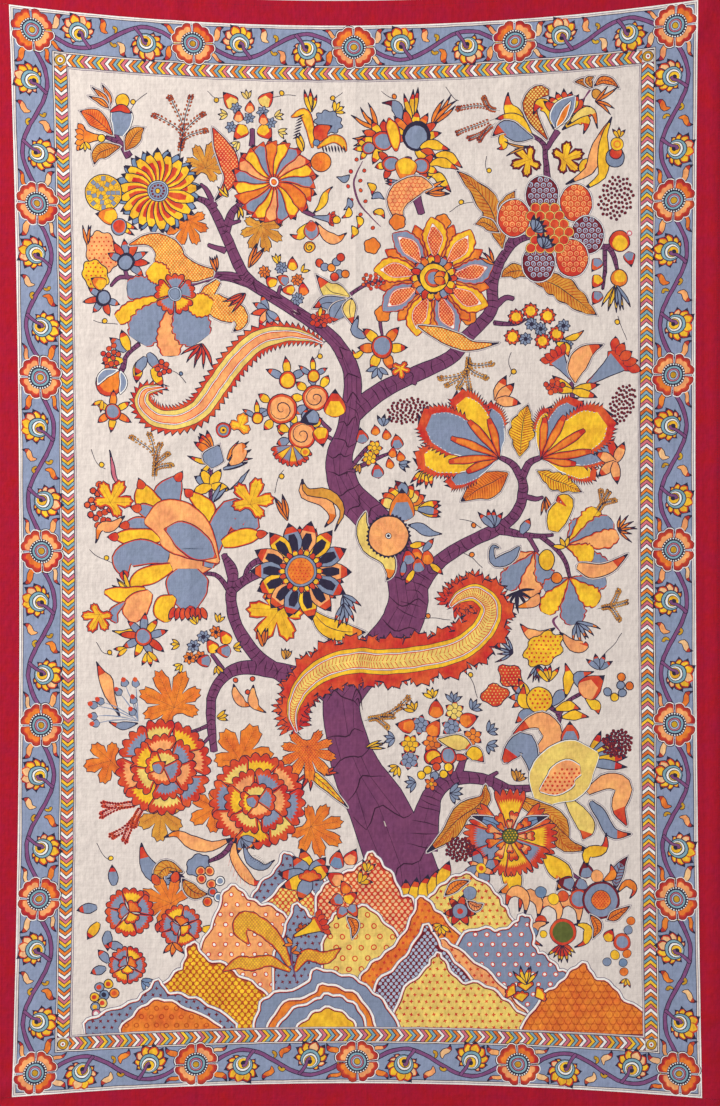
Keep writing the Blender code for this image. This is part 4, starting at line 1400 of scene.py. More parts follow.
for angle, long, wide, dye in ((170, 9.6, 2.6, "grey"), (128, 7.4, 2.2, "yellow"),
                               (200, 12.6, 1.9, "yellow"), (228, 12.0, 3.6, "grey"),
                               (262, 12.4, 2.6, "peach"), (295, 10.6, 3.9, "grey"),
                               (335, 7.8, 2.4, "yellow")):
    out = way(angle)
    broad([-36.1 + 51j + 2.4 * out, -36.1 + 51j + long * 0.6 * out, -36.1 + 51j + long * out * way(4)],
          wide, dye, "red",
          (0.4, 0.7, 1.0, 1.05, 0.7), 7, 0.16, 24)
for k in range(5):
    scallop(-36.1 + 51j, 90 + 72 * k, 4.2, 66, 3, ("grey", "yellow")[k % 2])
rings(-36.1 + 51j, (1.5, "ink"), (1.38, "pale_blue"), (1.15, "ink"), (1.05, "grey"))
claws(-22.0 + 51.0j, 215, 4.2, 5, 70, "red", 0.6, 0.3)
claws(-27.9 + 55.6j, 100, 3.2, 4, 60, "orange", 0.6, 0.3)
claws(-21.4 + 56.4j, 60, 4.6, 4, 60, "orange", 0.6, 0.35)
for spot, dye, kind in ((-18.2 + 55.4j, "orange", 1), (-14.8 + 56.2j, "grey", 1),
                        (-12.6 + 56.8j, "yellow", 0), (-14.4 + 53.8j, "grey", 0),
                        (-16.8 + 53.4j, "yellow", 0), (-11.6 + 53.8j, "orange", 1),
                        (-13.3 + 51.8j, "yellow", 0),
                        (-10.4 + 51.8j, "orange", 0), (-11.6 + 50.0j, "grey", 1)):
    if kind:
        star(spot, 1.35, dye, 8, 10, dye, None)
    else:
        drop(spot, 1.05, random.uniform(0, 360), dye, "red")
leaflets(-15.6 + 57.2j, 100, 1.9, 3, 60, "yellow")
leaflets(-10.8 + 55.4j, 40, 1.8, 2, 60, "yellow")
for angle, dye in ((110, "grey"), (150, "grey"), (190, "red"), (240, "peach"), (290, "grey"), (320, "grey")):
    petal(-17.6 + 47.6j, angle, 3.4, 1.4, dye, "red")
leaf([-1.2 + 50.6j, -3.4 + 51.0j, -5.6 + 52.0j, -7.8 + 54.8j], 1.9, "straw", None, 0, "red")
leaf([-1.6 + 50.0j, -4.0 + 49.2j, -6.4 + 49.2j, -8.4 + 48.2j], 1.4, "grey", None, 0, "red")
leaf([-2.0 + 49.8j, -3.8 + 47.2j, -4.4 + 45.4j], 1.6, "grey", None, 0, "red")
leaf([-0.8 + 50.2j, -1.2 + 47.8j, -0.6 + 44.8j], 1.3, "straw", None, 0, "red")
berry_patch(-7.0 + 46.0j, 1.9, 1.6, 0.5, "red", 14, edge="ink")
for spot, dye in ((-7.2 + 57.2j, "red"), (-6.2 + 56.4j, "grey"), (-4.8 + 56.2j, "orange"),
                  (-3.8 + 57.4j, "grey"), (-3.0 + 58.3j, "red"),
                  (-3.2 + 55.0j, "grey"), (-4.2 + 54.4j, "red"), (-2.0 + 55.0j, "orange")):
    draw(ball(spot, 0.85, 10), dye)
leaflets(-7.1 + 46.6j, 90, 2.2, 1, 10, "yellow", "orange")
flame([0.6 + 46.6j, -0.2 + 44.0j, 1.6 + 42.6j, 3.0 + 43.6j], 0.9, "grey", "red")
flame([2.2 + 40.4j, 0.2 + 38.6j, -0.6 + 39.8j], 0.6, "yellow", "red")
bud(5.3 + 40.4j, 2.3, 270, "grey", "red", ("yellow", "orange"), 6, 280, 1.8)
petal_ring(4.6 + 36.4j, 4, 0.3, 2.6, 1.0, ("grey",), None, start=200, spread=160)
maple(9.0 + 36.2j, 2.2, 280, "yellow", None, 5, "red")
blade, number = leaf([12.6 + 44.6j, 16.4 + 43.2j, 20.4 + 41.6j, 23.6 + 40.6j, 28.6 + 41.2j], 1.5,
                     "orange", None, 0, rib=None)
net(blade.edge(-0.15), number, "straw", 0.62, 0.2)
serpent([-6.6 + 41.2j, -10.4 + 42.6j, -14.8 + 42.9j, -19.6 + 41.6j, -24.0 + 37.6j, -27.6 + 32.8j,
         -31.2 + 28.0j, -35.6 + 25.9j,
         -40.0 + 26.4j, -42.6 + 29.0j, -42.0 + 31.6j, -38.2 + 32.4j], 2.5)
claws(-30.6 + 41.0j, 250, 4.6, 6, 110, "red", 0.65, 0.2)
for spot, angle, dye in ((-46.0 + 39.6j, 140, "grey"), (-45.4 + 39.8j, 110, "yellow"),
                         (-46.6 + 37.8j, 190, "yellow"),
                         (-43.4 + 37.4j, 265, "yellow"), (-41.4 + 39.2j, 300, "grey"),
                         (-40.6 + 36.0j, 300, "yellow"),
                         (-42.0 + 38.4j, 240, "grey")):
    petal(spot, angle, 4.2, 2.0, dye, "red")
berry_patch(-48.9 + 38.2j, 1.9, 2.6, 0.5, "red", 12, edge="ink")
berry_patch(-38.4 + 36.2j, 1.6, 1.4, 0.5, "red", 8, edge="ink")
bud(-49.1 + 33.4j, 3.0, 230, "orange", "red", ("grey",), 0)
broad([-47.4 + 35.8j, -50.2 + 35.0j, -51.6 + 32.8j], 0.9, "grey", "white")
broad([-47.0 + 35.6j, -46.4 + 33.4j, -47.0 + 31.0j], 0.8, "grey", "white")
bud(-48.5 + 27.4j, 1.7, 300, "grey", "red", ("yellow", "orange"), 6, 300, 1.9)
leaflets(-50.6 + 29.6j, 230, 2.4, 2, 60, "yellow", "red")
tendril([-52.4 + 45.8j, -50.8 + 45.2j, -47.6 + 45.0j], "yellow", 0.6)
tendril([-36.6 + 35.6j, -35.2 + 34.8j, -33.9 + 33.2j], "blue", 0.5, 0.35)
print(len(outlines), "outlines after the upper left")

# %% The middle left
broad([-41 - 2.4j, -34.5 - 2.9j, -27.2 - 2.4j], 2.7, "peach")
spray(-40.2 + 13.6j, [-44.9 + 22.0j, -41.3 + 22.8j, -39.0 + 20.8j, -37.4 + 18.8j, -36.8 + 16.6j], 0.24,
      "ochre", "ink")
tendril([-52.8 + 20.0j, -51.8 + 17.2j, -50.0 + 16.0j], "yellow", 0.7)
flame([-46.2 + 11.6j, -48.2 + 14.4j, -48.6 + 17.0j, -49.2 + 19.8j], 0.45, "rose", None)
maple(-27.5 + 24.6j + 4.4, 2.6, 70, "yellow", None, 3, "orange")
rings(-26.4 + 23.8j, (1.6, "ink"), (1.45, "red"), (1.15, "grey"), (0.8, "ink"), (0.7, "yellow"), (0.3, "ink"))
claws(-28.9 + 19.4j, 125, 4.4, 4, 60, "orange", 1.5, 0.1, "red")
claws(-28.9 + 17.2j, 200, 4.6, 2, 40, "yellow", 1.0, -0.3, "red")
claws(-25.6 + 18.0j, 30, 5.2, 5, 80, "orange", 0.8, 0.2, "red")
claws(-26.4 + 16.0j, 15, 5.0, 2, 20, "grey", 0.9, 0.2)
flame([-25.6 + 16.6j, -23.6 + 18.2j, -22.8 + 20.4j, -21.8 + 20.4j], 1.5, "peach", "orange")
leaf([-28.8 + 16.2j, -28.4 + 18.4j, -27.2 + 20.8j], 2.1, "grey", None, 0, rib=None)
for angle, dye in ((150, "grey"), (120, "yellow"), (60, "yellow"), (-10, "yellow"), (200, "yellow")):
    petal(-28.9 + 12.6j, angle, 3.9, 2.0, dye)
claws(-28.6 + 9.4j, 55, 4.2, 3, 40, "grey", 0.8, 0.2)
flame([-24.9 + 12.0j, -23.2 + 13.4j, -22.2 + 14.6j, -21.3 + 15.9j], 0.4, "grey", None)
for spot, size, angle in ((-14.7 + 28.0j, 3.0, 150), (-8.0 + 30.2j, 2.6, 60), (-10.7 + 22.8j, 2.8, 40)):
    petal_ring(spot, 5, size, size + 2.6, 1.7, ("yellow", "grey", "yellow"), "red", start=angle, spread=200)
for spot, size in ((-13.6 + 33.8j, 1.8), (-8.4 + 34.6j, 1.3), (-19.6 + 26.2j, 1.2)):
    bud(spot, size, 90, "yellow", "red", ("grey", "yellow", "grey"), 3, 120, 2.3)
for spot, size, angle in ((-14.7 + 28.0j, 3.0, 150), (-8.0 + 30.2j, 2.6, 60), (-10.7 + 22.8j, 2.8, 40)):
    snail(spot, size, angle)
drop(-4.1 + 28.6j, 2.2, 90, "yellow", "red")
drop(-6.9 + 22.8j, 1.6, 280, "yellow", "red")
drop(-8.9 + 26.2j, 1.6, 200, "grey", "ink")
for k, angle in enumerate((200, 225, 250, 275, 300, 325)):
    scallop(-12.6 + 20.8j, angle, 4.4, 30, 2, ("grey", "yellow")[k % 2])
rings(-10.0 + 19.4j, (1.0, "ink"), (0.85, "yellow"), (0.5, "orange"))
tendril([-7.2 + 40.0j, -7.6 + 38.6j, -9.0 + 37.6j], "yellow", 0.4)
tendril([-14.4 + 15.8j, -15.6 + 13.8j, -16.1 + 11.2j], "yellow", 0.3)
berry_patch(-51.2 + 8.6j, 2.6, 4.4, 0.6, "red", 20, 0, "ink")
maple(-48.8 + 9.6j, 4.6, 60, "yellow", None, 5, "red")
flame([-46.2 + 6.6j, -48.6 + 4.6j, -51.0 + 4.2j, -51.9 + 1.2j], 1.1, "peach", "orange")
tendril([-53.2 - 0.2j, -51.4 - 1.6j, -47.6 - 3.2j], "yellow", 0.7)
# The largest flower of the middle, petals first.
for spine, wide, dye in (
    ([-36.0 + 6.0j, -37.8 + 10.0j, -35.2 + 14.6j], 3.0, "grey"),
    ([-38.6 + 6.6j, -41.6 + 9.4j, -43.0 + 13.2j], 2.4, "yellow"),
    ([-31.6 + 5.4j, -29.8 + 8.0j, -33.6 + 11.4j], 1.8, "yellow"),
    ([-38.2 + 5.4j, -41.6 + 7.6j, -44.0 + 8.2j], 1.4, "grey"),
    ([-39.0 + 4.0j, -43.0 + 5.2j, -46.4 + 4.6j], 1.3, "grey"),
    ([-38.6 + 2.4j, -44.0 + 2.4j, -48.6 + 2.4j], 1.7, "yellow"),
    ([-37.4 - 1.6j, -42.6 - 0.6j, -46.4 - 2.0j, -46.2 - 5.6j], 2.6, "grey"),
    ([-36.8 - 3.6j, -40.4 - 5.0j, -43.4 - 6.2j, -44.6 - 9.2j], 1.8, "yellow"),
    ([-33.6 - 4.0j, -33.6 - 7.6j, -33.0 - 12.6j], 4.2, "grey"), ([-29.4 - 3.6j, -28.0 + 2.6j,
        -24.6 + 8.0j, -20.8 + 5.0j, -24.6 + 3.4j], 2.2, "grey"),
    ([-26.6 + 1.0j, -22.6 + 2.4j, -18.6 + 3.0j], 1.7, "yellow"),
):
    broad(spine, wide, dye, "red", (0.5, 0.95, 1.0, 0.8, 0.2), 0, 0, 18)
    tip = spine[-1]
    drop(tip - 0.3 * (spine[-1] - spine[-2]) / abs(spine[-1] - spine[-2]), 0.9,
         math.degrees(cmath.phase(spine[-1] - spine[-2])), "red", "red")
maple(-20.9 + 9.4j, 5.0, 70, "yellow", None, 5, "red")
broad([-42.2 + 5.4j, -37.8 + 5.6j, -33.0 + 2.6j, -27.4 - 2.6j], 5.2, "peach", "red",
      (0.1, 0.75, 1.0, 0.8, 0.1), 0, 0, 24)
broad([-38.2 + 4.0j, -34.8 + 3.0j, -31.0 + 0.2j, -27.8 - 1.6j], 2.9, "grey", "red",
      (0.05, 0.8, 1.0, 0.8, 0.05), 0, 0, 20)
flame([-10.6 + 13.9j, -10.3 + 11.0j, -6.4 + 9.8j, -4.6 + 6.6j, -6.2 + 4.4j], 1.3, "peach", "orange")
flame([-10.8 + 13.8j, -9.4 + 11.4j, -5.4 + 11.0j, -2.6 + 7.8j, -4.2 + 3.6j], 1.0, "ochre", None)
claws(-13.6 + 5.8j, 110, 5.0, 4, 60, "orange", 0.6, 0.35)
maple(-15.6 - 12.6j, 6.6, 235, "yellow", None, 5, "red")
leaf([-9.0 - 12.2j, -5.6 - 15.6j, -1.6 - 16.6j, 2.0 - 16.6j], 2.0, "yellow", None, 0, "orange")
for spot, angle in ((-2.4 - 9.2j, 300), (-2.2 - 11.0j, 270)):
    claws(spot, angle, 4.4, 5, 90, "grey", 0.8, 0.3, "red")
centre = -10.9 - 4.4j
petal_ring(centre, 17, 4.6, 9.0, 2.2, ("red", "yellow"), "red", start=6)
petal_ring(centre, 14, 3.6, 10.0, 3.6, ("peach", "grey", "yellow"), "red", "ink")
petal_ring(centre, 20, 3.0, 4.6, 1.1, ("yellow", "red"), "red")
rings(centre, (3.3, "ink"), (3.1, "grey"), (2.7, "ink"), (2.6, "orange"))
for spot in spots_in(ball(centre, 2.3), 0.7):
    fill(ball(spot, 0.16, 5), "red")
claws(-45.2 - 9.0j, 130, 4.4, 4, 70, "yellow", 0.9, 0.2)
for spine, wide, dye in (([-42.0 - 8.0j, -46.0 - 9.2j, -50.2 - 8.6j], 1.6, "yellow"),
                         ([-36.2 - 9.6j, -38.2 - 11.6j, -37.6 - 14.6j], 2.2, "yellow"),
                         ([-41.0 - 8.6j, -43.8 - 11.6j, -44.4 - 14.6j], 2.6, "peach"),
                         ([-46.2 - 10.6j, -48.4 - 12.8j, -47.8 - 14.8j], 1.0, "grey")):
    broad(spine, wide, dye, "red", (0.3, 0.8, 1, 0.9, 0.3))
maple(-51.4 - 13.4j, 3.6, 240, "yellow", None, 5, "red")
for k in range(7):
    petal(-33.5 - 11.8j + (k - 3) * 0.9, 270 + (k - 3) * 8, 2.6, 1.3, "red", "red")
flame([-44.0 - 15.6j, -45.4 - 16.8j, -48.6 - 16.4j], 0.8, "yellow", None)
bud(-42.4 - 17.6j, 1.8, 290, "grey", "red", ("grey", "red", "grey", "yellow"), 9, 320, 2.1)
leaflets(-45.8 - 20.0j, 200, 2.6, 2, 40, "yellow", "red")
leaflets(-41.4 - 20.6j, 280, 3.0, 3, 70, "yellow", "red")
tendril([-51.8 - 18.6j, -50.6 - 20.6j, -48.6 - 21.2j], "yellow", 0.8)

fill(ball(-23.8 + 4.9j, 1.1, 9), "grey")
print(len(outlines), "outlines after the middle left")

# %% The lower left
flame([-47.2 - 33.4j, -49.2 - 29.0j, -49.8 - 26.6j, -50.8 - 24.8j, -51.8 - 22.6j], 1.4, "peach", "red")
for end in (-52.4 - 31.2j, -51.0 - 30.4j, -52.4 - 33.4j, -52.0 - 34.9j, -46.2 - 26.8j, -44.0 - 26.8j,
            -47.4 - 28.6j, -44.4 - 30.2j, -44.6 - 32.6j):
    stroke([-43.4 - 34.4j, (end - 43.4 - 34.4j) / 2 + 0.5j, end], 0.24, "grey", 8)
    run = (end + 43.4 + 34.4j) / abs(end + 43.4 + 34.4j)
    drop(end, 0.75, math.degrees(cmath.phase(run)), "grey", "grey")
    fill(ball(end + run * 0.7, 0.5, 8), "red")
flame([-43.6 - 34.8j, -46.6 - 35.4j, -49.2 - 34.6j], 0.8, "grey", "red")
maple(-36.6 - 31.0j, 7.2, 115, "orange", "rust", 7)
maple(-49.4 - 42.4j, 4.9, 195, "orange", "rust", 5)
maple(-38.9 - 53.2j, 5.2, 265, "ochre", "rust", 5)
maple(-22.9 - 41.6j, 6.9, 65, "orange", "rust", 5)
maple(-28.4 - 52.0j, 5.0, 210, "orange", "rust", 5)
maple(-8.4 - 55.8j, 6.2, 330, "orange", "rust", 7)
spray(-42.6 - 50.6j, [-50.6 - 53.2j, -50.2 - 51.0j], 0.3, "maroon", "red")
spray(-42.4 - 51.4j, [-48.6 - 57.2j, -46.0 - 58.2j, -44.2 - 55.2j], 0.3, "maroon", "red")
for share, dye in ((0, "ink"), (1, "yellow")):
    stroke([-10.2 - 43j, -6.0 - 46.8j, -1.4 - 51.6j], 1.5 - 0.9 * share, dye, 12)
claws(-9.2 - 44.8j, 245, 3.2, 4, 90, "red", 0.7, 0.3)
claws(-6.2 - 45.0j, 20, 2.6, 3, 60, "red", 0.7, 0.3)
leaf([-10.4 - 43.6j, -6.8 - 46.6j, -1.6 - 51.6j], 0.9, "yellow", "orange", 10)
number = maple(-9.6 - 40.2j, 6.4, 275, "orange", None, 9)
net(ball(-9.6 - 40.4j, 4.9, lean=0, squash=0.86), number, "red", 0.55, 0.17)
peony(-38.4 - 43.6j, 9.4, 10)
peony(-19.6 - 50.4j, 9.4, 40)
flame([-24.4 - 57.8j, -28.6 - 59.4j, -32.4 - 58.8j, -35.6 - 57.0j, -38.2 - 57.6j], 1.4, "peach", "orange")
leaflets(-22.6 - 57.6j, 300, 3.4, 4, 90, "grey", "orange")
plume([-23.8 - 57.8j, -24.4 - 61.0j, -22.4 - 64.6j, -20.0 - 66.8j, -17.0 - 65.6j], 1.1, "peach", "red",
      11, -1)
plume([-22.4 - 59.0j, -21.2 - 62.2j, -18.4 - 63.6j, -16.2 - 62.2j], 0.9, "grey", "ink", 11, 1, "grey")
for spot, kind in ((-30.4 - 17.6j, 1), (-27.9 - 16.6j, 0), (-32.4 - 19.4j, 1), (-31.0 - 21.6j, 0),
                   (-28.6 - 19.6j, 2), (-26.2 - 20.4j, 3),
                   (-30.2 - 22.4j, 3), (-33.2 - 21.8j, 0), (-26.0 - 17.8j, 2)):
    if kind in (0, 1):
        star(spot, 1.4, ("orange", "grey")[kind], 7, 10, "ink", None)
    else:
        drop(spot, 1.25, 60 * kind, ("yellow", "grey")[kind - 2], "red")
for spot, angle in ((-31.9 - 15.0j, 110), (-35.2 - 19.2j, 175), (-34.6 - 23.2j, 215), (-27.6 - 14.6j, 70),
                    (-24.4 - 19.6j, 0), (-27.6 - 23.4j, 280)):
    leaflets(spot, angle, 1.9, 3, 70, "yellow")
for spot, angle in ((-24.4 - 27.0j, 285), (-20.4 - 27.2j, 265)):
    flame([spot, spot + 2.4 * way(angle), spot + 4.4 * way(angle + 12), spot + 6.0 * way(angle + 30)],
          1.0, "peach", "orange")
for spot in (-24.0 - 26.2j, -20.6 - 26.0j, -21.6 - 28.6j):
    draw(ball(spot, 0.5, 8), "red")
claws(-18.6 - 19.4j, 90, 4.0, 3, 50, "orange", 0.8, 0.15)
leaflets(-14.2 - 22.0j, 75, 2.2, 4, 60, "ochre")
leaflets(-27.6 - 33.6j, 10, 2.2, 3, 60, "yellow")
# Below the peonies.
flame([-34.2 - 64.6j, -37.6 - 66.0j, -40.8 - 64.4j, -42.4 - 61.4j, -42.8 - 58.8j], 1.7, "grey", "red")
leaf([-34.6 - 64.6j, -37.6 - 63.6j, -39.2 - 65.2j, -38.2 - 67.2j], 1.5, "ochre", "rust", 10)
draw(frilled(-31.5 - 63.2j, 2.7, 6, 0.2, squash=0.8, lean=40), "grey")
claws(-34.4 - 65.6j, 190, 3.4, 4, 90, "ink", 0.4, 0.2)
maple(-37.4 - 70.6j, 5.8, 160, "orange", None, 7)
for angle in (75, 120, 165, 205, 250, 320):
    petal(-37.4 - 70.6j + 4.1 * way(angle), angle, 2.4, 1.8, "red", "red")
leaf([-34.6 - 66.0j, -32.4 - 68.6j, -29.6 - 69.0j], 1.3, "ochre", "rust", 8)
for spot, dye, heart in ((-31.0 - 64.4j, "peach", "red"), (-29.2 - 64.4j, "peach", "red"),
                         (-30.8 - 66.0j, "peach", "red"),
                         (-28.8 - 67.0j, "peach", "red"), (-27.1 - 66.4j, "white", "grey"),
                         (-28.6 - 68.6j, "grey", "red"),
                         (-27.4 - 69.6j, "white", "blue"), (-29.6 - 70.6j, "orange", "red"),
                         (-25.6 - 70.4j, "white", "blue"),
                         (-26.1 - 72.4j, "peach", "red")):
    draw(ball(spot, 0.95, 12), dye)
    fill(ball(spot, 0.6, 10), heart)
for spot, lean in ((-48.3 - 67.2j, 95), (-51.8 - 71.6j, 190), (-51.4 - 74.8j, 235), (-49.6 - 76.4j, 270),
                   (-30.6 - 75.9j, -10)):
    petal(spot, lean, 4.0, 2.0, "yellow" if lean in (235, -10) else "grey", "red")
small_peony(-45.2 - 72.6j, 4.9, 20)
small_peony(-35.0 - 75.4j, 4.3, 50)
claws(-36.4 - 78.8j, 270, 3.4, 3, 100, "orange", 1.1, 0.1, "red")
for spot, angle in ((-49.4 - 82.6j, 130), (-50.0 - 83.8j, 200), (-44.4 - 80.2j, 280), (-46.6 - 79.6j, 170)):
    petal(spot, angle, 3.2, 1.8, "grey", "red")
small_peony(-45.6 - 83.2j, 3.8, 0)
leaflets(-42.6 - 86.2j, 320, 2.4, 3, 80, "blue")
for spot, dye, heart in ((-51.2 - 87.6j, "grey", "red"), (-49.4 - 87.0j, "yellow", "red"),
                         (-50.2 - 89.2j, "blue", "ink"),
                         (-52.2 - 89.6j, "yellow", "red"), (-50.6 - 90.8j, "straw", "red"),
                         (-48.2 - 88.8j, "orange", "red"),
                         (-52.0 - 91.6j, "grey", "yellow"), (-51.8 - 93.0j, "rose", "white")):
    draw(ball(spot, 0.95, 12), dye)
    fill(ball(spot - 0.1, 0.5, 8), heart)
tendril([-51.7 - 58.8j, -50.6 - 61.0j, -49.0 - 62.4j], "yellow", 0.9)
print(len(outlines), "outlines after the lower left")

# %% The right of the middle
spray(22.9 + 39.4j, [16.9 + 34.4j, 18.2 + 33.0j, 20.6 + 32.4j, 22.9 + 32.0j, 26.2 + 34.4j, 27.4 + 37.2j],
      0.24, "ochre", "ink")
tendril([31.1 + 39.4j, 30.6 + 37.2j, 31.2 + 35.4j, 30.8 + 34.4j], "yellow", 0.7)
stroke([28.0 + 28.6j, 29.4 + 31.4j], 0.5, "purple")
for angle, bend, long in ((85, -0.3, 5.2), (40, 0.1, 5.0), (5, -0.2, 4.8)):
    petal(28.2 + 29.6j, angle, long, 2.2, "peach", "red", bend=bend)
berry_patch(10.6 + 27.6j, 4.4, 2.6, 0.26, "maroon", 70, 10)
berry_patch(53.4 + 29.0j, 2.4, 4.2, 0.26, "maroon", 60, -20)
leaf([32.9 + 18.6j, 33.2 + 22.6j, 33.6 + 25.8j, 34.5 + 28.8j], 2.7, "yellow", "rust", 18, None, 4)
leaf([30.4 + 15.2j, 27.2 + 13.2j, 24.2 + 11.8j, 21.2 + 9.6j], 2.7, "orange", "rust", 18)
leaf([36.4 + 15.6j, 39.6 + 13.8j, 42.4 + 12.8j, 45.2 + 11.4j], 2.0, "yellow", "rust", 16, None, 4)
claws(14.6 + 16.4j, 250, 4.6, 5, 70, "yellow", 1.1, 0.1, "red")
APEX_LEFT, APEX_RIGHT = 28.8 + 18.3j, 37.0 + 18.3j
for angle, long, wide, dye, bend in ((203, 11.4, 2.0, "grey", 0.08), (184, 16.4, 3.2, "yellow", -0.05),
                                     (98, 10.6, 2.6, "grey", 0.1),
                                     (126, 15.0, 3.2, "yellow", -0.05), (155, 17.4, 4.2, "grey", -0.04)):
    fan_lobe(APEX_LEFT, angle, long, wide, dye, bend)
for angle, long, wide, dye, bend in ((-14, 11.4, 2.0, "yellow", -0.08), (4, 15.0, 2.8, "grey", 0.05),
                                     (84, 9.8, 2.2, "yellow", -0.1),
                                     (58, 13.4, 3.0, "grey", 0.0), (30, 16.0, 4.4, "yellow", 0.02)):
    fan_lobe(APEX_RIGHT, angle, long, wide, dye, bend)
for apex, angles in ((APEX_LEFT, (202, 183, 156, 128, 103)), (APEX_RIGHT, (-13, 5, 30, 58, 82))):
    for long, angle in zip((7.2, 10.2, 10.4, 9.6, 8.0), angles):
        spine = [apex, apex + long * 0.5 * way(angle), apex + long * way(angle + 2)]
        finger, number = broad(spine, 0.8, "orange", "red", (0.1, 0.5, 0.85, 1.0, 0.9, 0.5))
        fill(ball(finger.at(0.96), 0.8, 9), "red", number)
for angle in (80, 170, 235, 290):
    petal(51.9 + 17.4j, angle - 20, 4.4, 2.0, "peach", "red", bend=0.1)
claws(38.0 + 10.4j, 275, 3.6, 4, 50, "orange", 0.55, 0.1)
for spot, dye in ((1.3 + 22.4j, "grey"), (8.3 + 21.2j, "grey"), (4.4 + 15.4j, "grey"),
                  (7.4 + 19.2j, "orange"), (6.9 + 17.0j, "orange"),
                  (9.0 + 18.4j, "orange"), (4.0 + 23.6j, "orange"), (6.2 + 22.8j, "orange")):
    drop(spot, 1.2 if dye == "grey" else 0.85, random.choice((80, 100, 300)), dye, "red")
star(3.8 + 20.2j, 1.7, "yellow", 6)
star(2.8 + 18.2j, 1.7, "yellow", 6, 20)
leaflets(5.4 + 24.6j, 80, 2.4, 3, 70, "grey", "ink")
leaflets(8.8 + 17.2j, 335, 2.2, 3, 60, "grey", "ink")
leaflets(0.8 + 16.8j, 240, 1.8, 3, 60, "ochre")
petal_ring(9.4 + 8.2j, 9, 1.6, 5.2, 2.1, ("yellow", "orange", "straw"), "red", start=10, spread=170)
for angle in (10, 20, -20, -8):
    petal(12.6 + 8.0j, angle, 4.6, 1.6, "grey" if angle in (10, -8) else "yellow", "red")
flame([10.0 + 10.4j, 9.4 + 12.2j, 8.0 + 13.6j], 1.1, "grey", "maroon")
drop(9.3 + 8.2j, 2.6, 90, "grey", "orange")
flame([10.6 + 4.8j, 12.6 + 4.4j, 15.0 + 3.2j, 17.2 + 3.0j], 1.0, "grey", "grey")
leaf([2.0 + 7.4j, 1.4 + 4.4j, 2.8 + 0.8j, 6.2 - 1.6j, 7.0 - 4.6j, 6.2 - 6.2j], 1.7, "straw", None, 0,
     "orange", rib=None)
fill(ball(6.6 + 2.6j, 4.35, 64) + 0.22 * (-1) ** np.arange(64) * turns(64), "ink")
rings(6.6 + 2.6j, (3.9, "peach"), (0.65, "ink"), (0.5, "white"), (0.32, "ink"))
for k in range(30):
    stroke([6.6 + 2.6j + 1.6 * way(12 * k), 6.6 + 2.6j + 3.2 * way(12 * k + 3)], 0.08, "orange", 2)
for spot, dye in ((12.2 - 1.2j, "orange"), (14.4 - 1.8j, "orange"), (12.6 - 3.4j, "grey"),
                  (10.6 - 1.8j, "grey")):
    drop(spot, 1.25, 100, dye, "red")
for spot, angle, dye in ((11 + 0.6j, 10, "yellow"), (13.6 - 0.4j, 50, "grey"), (15 - 3.0j, 320, "yellow"),
                         (11.6 - 4.4j, 240, "yellow"), (9.8 - 2.6j, 260, "grey")):
    petal(spot, angle, 3.2, 1.3, dye, "red")
claws(27.4 + 4.4j, 95, 3.8, 4, 90, "grey", 1.3, 0.1, "red")
tendril([25.2 + 4.2j, 23.4 + 5.4j, 20.8 + 6.0j], "orange", 0.4)
tendril([21.2 - 0.6j, 23.4 - 1.8j, 25.4 - 3.8j], "orange", 0.4)
petal(33.2 + 3.2j, 60, 3.4, 1.8, "grey", "red")
print(len(outlines), "outlines after the right of the middle")

# %% Lilies and fruit at the right
for spot, lobes in (
    (42.1 + 0.6j, ((52, 6.4, 2.4, "grey"), (48, 9.6, 2.2, "yellow"), (28, 10.4, 2.4, "grey"),
                   (10, 10.6, 1.9, "peach"),
                   (-28, 9.0, 1.9, "grey"), (-20, 5.8, 2.1, "yellow"))),
    (36.0 - 0.6j, ((205, 7.2, 2.3, "peach"), (228, 9.4, 2.3, "grey"), (262, 9.2, 2.3, "peach"),
                   (292, 6.6, 2.0, "grey"))),
    (42.9 - 5.8j, ((205, 5.6, 1.8, "grey"), (-8, 7.2, 1.8, "grey"), (232, 8.6, 2.1, "yellow"),
                   (275, 9.2, 2.6, "grey"), (-42, 7.4, 2.2, "yellow"))),
):
    for angle, long, wide, dye in lobes:
        out = way(angle)
        broad([spot, spot + out * long * 0.4, spot + out * long * 0.75, spot + out * long * way(3)], wide,
              dye, "red",
              (0.12, 0.5, 0.95, 1.05, 0.6), 5, 0.2, 22)
claws(41.8 + 0.4j, 120, 2.6, 3, 120, "yellow", 0.9, 0.1)
claws(52.6 + 3.8j, 20, 3.2, 7, 160, "orange", 0.5, 0.3, "maroon")
spray(48.0 + 6.8j, [48.9 + 11.6j, 50.6 + 11.4j, 51.8 + 9.6j], 0.24, "ochre", "ink")
draw(ball(40.2 - 5.8j, 1.1), "orange")
leaf([44.4 - 3.4j, 47.6 - 4.4j, 51.0 - 3.6j, 54.4 - 1.0j], 1.4, "peach", None, 0, "red", rib=None,
     swell=(0.5, 1, 0.9, 0.6, 0.05))
draw(ball(38.2 - 2.2j, 1.6, squash=1.3), "yellow")
leaf([32.8 + 0.4j, 30.6 - 1.8j, 27.6 - 2.6j, 27.4 + 0.4j, 28.6 + 0.2j], 1.2, "grey", None, 0, rib=None,
     swell=(0.2, 1, 0.6, 0.3, 0.1))
leaf([39.6 + 3.6j, 40.4 + 6.4j, 42.2 + 9.4j, 41.0 + 10.2j, 40.2 + 9.4j], 2.1, "yellow", None, 0, "red",
     rib=None, swell=(0.5, 1.0, 0.7, 0.3, 0.1))
claws(32.2 - 8.6j, 290, 3.8, 7, 190, "ink", 0.45, 0.3, "orange")
claws(44.4 - 14.6j, 300, 4.4, 6, 120, "grey", 0.7, 0.3, "orange")
